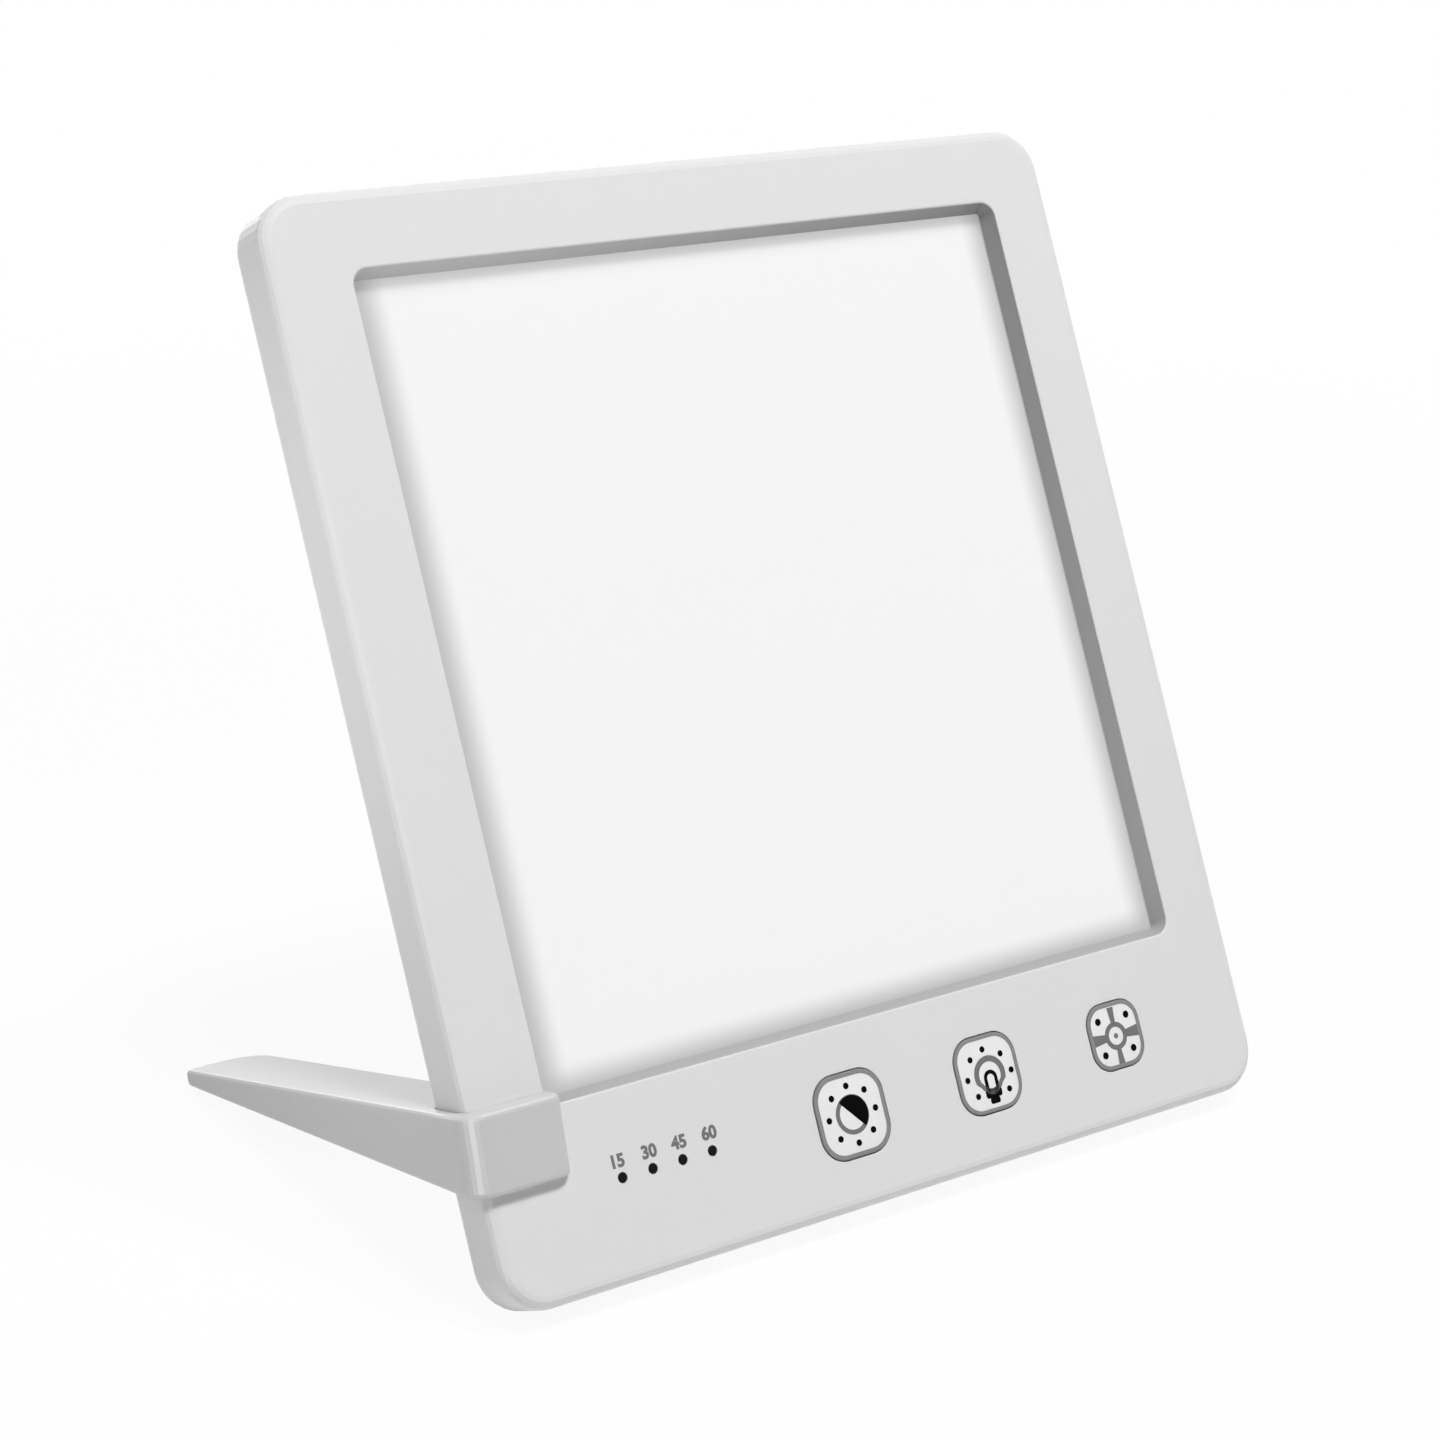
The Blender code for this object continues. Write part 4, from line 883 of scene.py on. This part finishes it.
def lightInk():
    icon = lightIcon
    x, y = icon["bulb"]
    dark = [inkDisc(dotX / 1000, dotY / 1000, icon["dotRadius"]) for dotX, dotY in icon["dots"]]

    def drawNeck():
        # The bulb's lower part is drawn in.
        bpy.ops.mesh.select_mode(type="VERT")
        for lift, share in icon["neck"]:
            bpy.ops.mesh.select_all(action="DESELECT")
            shape = bmesh.from_edit_mesh(bpy.context.object.data)
            for vert in shape.verts:
                if vert.co.y < y + lift:
                    vert.select_set(True)
            shape.select_flush(True)
            bmesh.update_edit_mesh(bpy.context.object.data)
            bpy.ops.transform.resize(value=(share, 1, 1), center_override=(x, y, 0))

    bulb = inkRing(x, y, icon["outer"], icon["stroke"], drawNeck)
    base = [
        inkBar(x, y + height, width, thickness, corner=thickness * icon["baseCornerShare"])
        for height, width, thickness in icon["base"]
    ]
    stroke = icon["filamentStroke"]
    arcUp = y + icon["filamentUp"]
    filament = inkRing(x, arcUp, icon["filamentRadius"], stroke)
    filament = cutInk(filament, (0, arcUp, 0), (0, 1, 0))
    legReach = icon["filamentRadius"] - stroke / 2
    baseUp, _, baseThickness = icon["base"][0]
    legEnd = y + baseUp + baseThickness / 2
    legs = [
        inkBar(x + side * legReach, (arcUp + legEnd) / 2, stroke, arcUp - legEnd)
        for side in (-1, 1)
    ]
    return dark + base + [filament] + legs, [bulb]


def timerInk():
    icon = timerIcon
    x, y = icon["middle"]
    dark = [
        inkDisc(sideX * icon["dotAcross"], sideY * icon["dotUp"], icon["dotRadius"])
        for sideX in (-1, 1) for sideY in (-1, 1)
    ]
    pale = [inkRing(x, y, icon["outer"], icon["stroke"]), inkDisc(x, y, icon["pin"])]
    length = icon["barEnd"] - icon["outer"] + icon["barLap"]
    reach = (icon["barEnd"] + icon["outer"]) / 2
    for turn in range(4):
        angle = math.pi / 2 * turn
        barX = x + reach * math.cos(angle)
        barY = y + reach * math.sin(angle)
        height = icon["endBar"] if turn % 2 else icon["sideBar"]
        pale.append(inkBar(barX, barY, length, height, angle, flare=icon["flare"]))
    return dark, pale


for keyName, draw in (("brightness", brightnessInk), ("light", lightInk), ("timer", timerInk)):
    across = key["caps"][keyName][0]
    for label, drawn, finish in zip(("Dark", "Grey"), draw(), ("blackInk", "greyInk")):
        mark = joinPieces("icon" + keyName.title() + label, drawn)
        standUp(mark, (across, key["row"], 0))
        finishPiece(mark, keyName + "_key", "key", finish)
print("icons printed")

minutes = {
    "labels": ("15", "30", "45", "60"),
    "across": (0.02885, 0.03655, 0.04385, 0.05125),
    "up": 0.02295,
    "rise": 0.00008,  # each number above the one before
    "size": 0.0036,
    "weight": 0.00016,  # how far each stroke is thickened
    "curveSteps": 4,
}


def minuteMark(label, across, up):
    clearSelection()
    bpy.ops.object.text_add(location=(0, 0, 0))
    text = bpy.context.object
    text.data.body = label
    text.data.size = minutes["size"]
    text.data.extrude = ink["thickness"] / 2
    text.data.offset = minutes["weight"]
    text.data.resolution_u = minutes["curveSteps"]
    bpy.ops.object.convert(target="MESH")
    place = (across, up, ink["thickness"] / 2 - ink["sunk"])
    return moveMesh(bpy.context.object, Matrix.Translation(place))


marks = [
    minuteMark(label, across, minutes["up"] + minutes["rise"] * turn)
    for turn, (label, across) in enumerate(zip(minutes["labels"], minutes["across"]))
]
finishPiece(standUp(joinPieces("minuteNumbers", marks)), "panel", "indicator", "greyInk")
print("numbers printed")


# Indicator lenses: low domes over their light pipes

lens = {
    "across": (0.03115, 0.03842, 0.04569, 0.05296),
    "up": 0.0207,
    "radius": 0.0010,
    "sides": 32,
    "dome": 0.00005,  # its edge lies this far below the face, and its top as far above
    "domeSteps": 6,
    "flangeTop": -0.0025,
    "flangeEnd": -0.0032,
    "flangeShare": 1.7,  # of the radius
    "back": -0.0066,
    "sharp": 40,  # degrees
}


def makeLens():
    clearSelection()
    bpy.ops.mesh.primitive_circle_add(
        vertices=lens["sides"], radius=lens["radius"], fill_type="NGON", location=(0, 0, 0),
    )
    openPiece("indicatorLens")
    bpy.ops.transform.translate(value=(0, 0, lens["back"]))
    stepTo(lens["flangeEnd"], 1)
    stepTo(lens["flangeEnd"], lens["flangeShare"])
    stepTo(lens["flangeTop"], 1)
    stepTo(lens["flangeTop"], 1 / lens["flangeShare"])
    stepTo(-lens["dome"], 1)
    before = 1
    for step in range(1, lens["domeSteps"]):
        angle = math.pi / 2 / lens["domeSteps"] * step
        stepTo(lens["dome"] * (2 * math.sin(angle) - 1), math.cos(angle) / before)
        before = math.cos(angle)
    return closePiece(lens["sharp"])


firstLens = makeLens()
for count, across in enumerate(lens["across"], 1):
    dome = standUp(copyPiece(firstLens, f"indicatorDome{count}"), (across, lens["up"], 0))
    finishPiece(dome, "panel", "indicator", "lensSmoked", f"indicator_lens_{count}")
bpy.data.objects.remove(firstLens)
print("indicator lenses made")


# Screws: turned heads and shanks with a thread, and a tapered cross recess

screws = {
    "coverScrew": {
        "node": "cover_screw_",
        "across": (0.00725, 0.1938), "up": (0.0074, 0.1125, 0.2176), "back": -0.013,
        "head": ((0.0024, 0), (0.0024, 0.0002), (0.0011, 0.0013)),  # radius, depth
        "tip": 0.0073, "pitch": 0.0006,
        "slot": (0.0028, 0.0007, 0.0009),  # length, width, depth
    },
    "boardScrew": {
        "node": "board_screw_",
        "across": (0.06985, 0.10655, 0.14325), "up": (0.0134,), "back": -0.0085,
        "head": (
            (0.0011, -0.0014), (0.0015, -0.0012), (0.0017, -0.0009), (0.0017, -0.0003),
            (0.0009, -0.0003),
        ),
        "tip": 0.0045, "pitch": 0.0005,
        "slot": (0.0018, 0.0005, 0.0007),
    },
}
thread = {
    "sides": 24,
    "rootShare": 0.78, "tipShare": 0.35,  # of the shank's radius
    "flankShare": 0.28,  # of the pitch
    "slotFootShares": (0.45, 0.6),  # of the slot's length and width
    "sharp": 30,  # degrees
}


def makeSlotCutter(name, screw, turn):
    # One arm of the cross, narrower at its foot.
    start = screw["head"][0][1]
    length, width, depth = screw["slot"]
    clearSelection()
    bpy.ops.mesh.primitive_cube_add(size=1, location=(0, 0, start))
    openPiece(name)
    bpy.ops.transform.resize(value=(length, width, depth * 2), center_override=(0, 0, start))
    selectFaces(lambda middle, normal: normal.z > drawing["facing"])
    bpy.ops.transform.resize(
        value=(*thread["slotFootShares"], 1), center_override=(0, 0, start + depth),
    )
    return moveMesh(closePiece(), Matrix.Rotation(turn, 4, "Z"))


def makeScrew(name, screw):
    radius, start = screw["head"][0]
    clearSelection()
    bpy.ops.mesh.primitive_circle_add(
        vertices=thread["sides"], radius=radius, fill_type="NGON", location=(0, 0, start),
    )
    openPiece(name)
    for before, (radius, depth) in zip(screw["head"], screw["head"][1:]):
        stepTo(depth - start, radius / before[0])
    pitch = screw["pitch"]
    root = thread["rootShare"]
    flank = pitch * thread["flankShare"]
    while depth + 2 * pitch < screw["tip"]:
        stepTo(depth + flank - start, root)
        stepTo(depth + pitch - flank - start, 1)
        stepTo(depth + pitch - start, 1 / root)
        depth += pitch
    stepTo(screw["tip"] - start, thread["tipShare"])
    piece = closePiece(thread["sharp"])
    for turn in (0, math.pi / 2):
        cutter = makeSlotCutter(name + "Slot", screw, turn)
        useModifier(piece, "BOOLEAN", operation="DIFFERENCE", solver="EXACT", object=cutter)
        bpy.data.objects.remove(cutter)
    pickOnly(piece)
    bpy.ops.object.shade_smooth_by_angle(angle=math.radians(thread["sharp"]))
    return piece


for label, screw in screws.items():
    first = makeScrew(label, screw)
    places = [(across, up, screw["back"]) for across in screw["across"] for up in screw["up"]]
    for count, place in enumerate(places, 1):
        piece = standUp(copyPiece(first, f"{label}{count}"), place)
        finishPiece(piece, "panel", "steel", "screwSteel", f"{screw['node']}{count}")
    bpy.data.objects.remove(first)
print("screws made")


# Rubber feet and grip pads: blocks with soft edges and a grooved face

rubber = {
    "edge": 0.00015, "edgeSteps": 2,
    "sharp": 40,  # degrees
    "grooveDepth": 0.00025,
    "feet": {  # middle, size and number of ribs, in the lamp's own space
        "left": ((-0.0745, -0.057159, 0.0008), (0.02, 0.0026, 0.0016), 11),
        "right": ((0.0775, -0.057159, 0.0008), (0.02, 0.0026, 0.0016), 11),
    },
    "grips": {  # middle and size on the panel, number of ribs, turn that lays the ribs on the panel
        "front": ((0.008, 0.03225, 0.0007), (0.01, 0.008, 0.0008), 7, 0),
        "rear": ((0.008, 0.03564, -0.0137), (0.01, 0.008, 0.0008), 7, 180),
    },
    "tip": ((-0.0905, 0.060637, 0.0016105), (0.006, 0.0054, 0.003221), 5),
    "tipDrop": 0.001176,  # how much lower the tip pad is at its back
}


def ribbedPad(name, size, ribs, drop=0.0):
    # A block with grooves across its underside.
    length, width, height = size
    clearSelection()
    bpy.ops.mesh.primitive_cube_add(size=1, location=(0, 0, 0))
    piece = openPiece(name)
    bpy.ops.transform.resize(value=size)
    if drop:
        top = height / 2 - drawing["same"]
        back = width / 2 - drawing["same"]
        selectEdges(lambda middle, way: middle.z > top and middle.y > back)
        bpy.ops.transform.translate(value=(0, 0, -drop))
    selectEdges(lambda middle, way: abs(way.x) > drawing["facing"])
    bpy.ops.mesh.subdivide(number_cuts=2 * ribs - 2)
    pitch = length / (2 * ribs - 1)

    def isGroove(middle, normal):
        count = round((middle.x + length / 2) / pitch - 0.5)
        return normal.z < -drawing["facing"] and count % 2 == 1

    selectFaces(isGroove)
    pushOut(rubber["grooveDepth"])
    closePiece(rubber["sharp"])
    useModifier(
        piece, "BEVEL", width=rubber["edge"], segments=rubber["edgeSteps"],
        limit_method="ANGLE", angle_limit=math.radians(rubber["sharp"]),
    )
    return piece


for side, (middle, size, ribs) in rubber["feet"].items():
    foot = moveMesh(ribbedPad("rubberFoot" + side.title(), size, ribs), Matrix.Translation(middle))
    finishPiece(foot, "panel", "rubber", "padRubber", "foot_" + side)
for side, (middle, size, ribs, turn) in rubber["grips"].items():
    pad = ribbedPad("gripPad" + side.title(), size, ribs)
    moveMesh(pad, Matrix.Translation(middle) @ Matrix.Rotation(math.radians(turn), 4, "X"))
    finishPiece(standUp(pad), "stand", "rubber", "padRubber", "grip_pad_" + side)
middle, size, ribs = rubber["tip"]
tipPad = ribbedPad("tipPad", size, ribs, rubber["tipDrop"])
moveMesh(tipPad, Matrix.Translation(middle))
finishPiece(tipPad, "stand", "rubber", "padRubber", "stand_foot")
print("rubber feet and pads made")


# Camera, light and floor

view = {
    "place": (-0.3884, -0.52736, 0.32428),
    "turn": (1.226912, -0.031814, -0.617390),
    "lens": 80.16, "sensor": 36,  # mm
    "nearest": 0.01,  # metres from the camera at which things start to show
}
lights = {
    "world": 0.14,
    "middle": (0, 0, 0.1),  # what the lamps face
    "lamps": {  # degrees round from the front, degrees up, metres away, metres across, watts
        "keyLight": (-15, 68, 1.7, 0.3, 12.4),
        "fillLight": (42, 68, 1.7, 0.3, 13.0),
        "cornerLight": (-60, 30, 1.7, 0.5, 0.4),
        "edgeLight": (-94, 11, 0.215, 0.10, 0.062),
        "backLight": (171, 12, 1.7, 0.9, 8.0),
        "shineLight": (-54, 10, 1.7, 0.5, 19.0),
    },
    "onlyShine": ("shineLight",),  # seen in gloss alone, as a bright card beside the lamp
}


def addCamera():
    data = bpy.data.cameras.new("photoCamera")
    data.lens = view["lens"]
    data.sensor_width = view["sensor"]
    data.sensor_fit = "HORIZONTAL"
    data.clip_start = view["nearest"]
    camera = bpy.data.objects.new("photoCamera", data)
    camera.location = view["place"]
    camera.rotation_euler = Euler(view["turn"])
    bpy.context.scene.collection.objects.link(camera)
    bpy.context.scene.camera = camera


def addLamp(name, aside, above, distance, size, power):
    # A square soft light that faces the lamp from a bearing and a height.
    bearing = math.radians(aside)
    rise = math.radians(above)
    level = math.cos(rise)
    way = Vector((math.sin(bearing) * level, -math.cos(bearing) * level, math.sin(rise)))
    data = bpy.data.lights.new(name, "AREA")
    data.size = size
    data.energy = power
    lamp = bpy.data.objects.new(name, data)
    lamp.location = Vector(lights["middle"]) + way * distance
    lamp.rotation_euler = way.to_track_quat("Z", "Y").to_euler()
    lamp.visible_camera = False
    lamp.visible_diffuse = name not in lights["onlyShine"]
    bpy.context.scene.collection.objects.link(lamp)


def seenRay(tree):
    # One for rays that show a background: from the camera, off gloss and through glass.
    path = tree.nodes.new("ShaderNodeLightPath")
    both = addMath(tree, "ADD", path.outputs["Is Camera Ray"], path.outputs["Is Glossy Ray"])
    node = addMath(tree, "ADD", both, path.outputs["Is Transmission Ray"])
    return addMath(tree, "MINIMUM", node, 1.0)


def mixShaders(tree, share, first, second, end):
    mix = tree.nodes.new("ShaderNodeMixShader")
    for place, item in enumerate((share, first.outputs[0], second.outputs[0])):
        tree.links.new(item, mix.inputs[place])
    tree.links.new(mix.outputs[0], end.inputs["Surface"])


def addBackground(tree, strength):
    node = addNode(tree, "ShaderNodeBackground", strength=strength)
    node.inputs["Color"].default_value = (1, 1, 1, 1)
    return node


def setWorld():
    world = bpy.data.worlds.new("studio")
    bpy.context.scene.world = world
    world.use_nodes = True
    tree = world.node_tree
    tree.nodes.clear()
    soft = addBackground(tree, lights["world"])
    white = addBackground(tree, 1.0)
    end = tree.nodes.new("ShaderNodeOutputWorld")
    mixShaders(tree, seenRay(tree), soft, white, end)


floorLook = {
    "size": 30,
    "tone": grey(0.88),
    "nearWhite": 0.93,  # share of plain white round the lamp, where its shadow shows
    "near": 0.22, "far": 0.85,  # metres over which the floor goes over to plain white
}


def addFloor():
    clearSelection()
    bpy.ops.mesh.primitive_plane_add(size=floorLook["size"], location=(0, 0, 0))
    floor = bpy.context.object
    floor.name = "studioFloor"
    material = bpy.data.materials.new("studioFloor")
    material.use_nodes = True
    tree = material.node_tree
    tree.nodes.clear()
    plain = addNode(tree, "ShaderNodeBsdfDiffuse")
    plain.inputs["Color"].default_value = (*floorLook["tone"], 1)
    white = addNode(tree, "ShaderNodeEmission")
    end = tree.nodes.new("ShaderNodeOutputMaterial")
    place = tree.nodes.new("ShaderNodeTexCoord")
    reach = addNode(tree, "ShaderNodeVectorMath", operation="LENGTH")
    tree.links.new(place.outputs["Object"], reach.inputs[0])
    away = addRange(
        tree, reach.outputs["Value"], floorLook["near"], floorLook["far"],
        floorLook["nearWhite"], 1, smooth=True,
    )
    share = addMath(tree, "MULTIPLY", seenRay(tree), away)
    mixShaders(tree, share, plain, white, end)
    floor.data.materials.append(material)


addCamera()
setWorld()
addFloor()
for lampName, setting in lights["lamps"].items():
    addLamp(lampName, *setting)
bpy.context.scene.view_settings.view_transform = "Standard"
print("camera, lights and floor set")
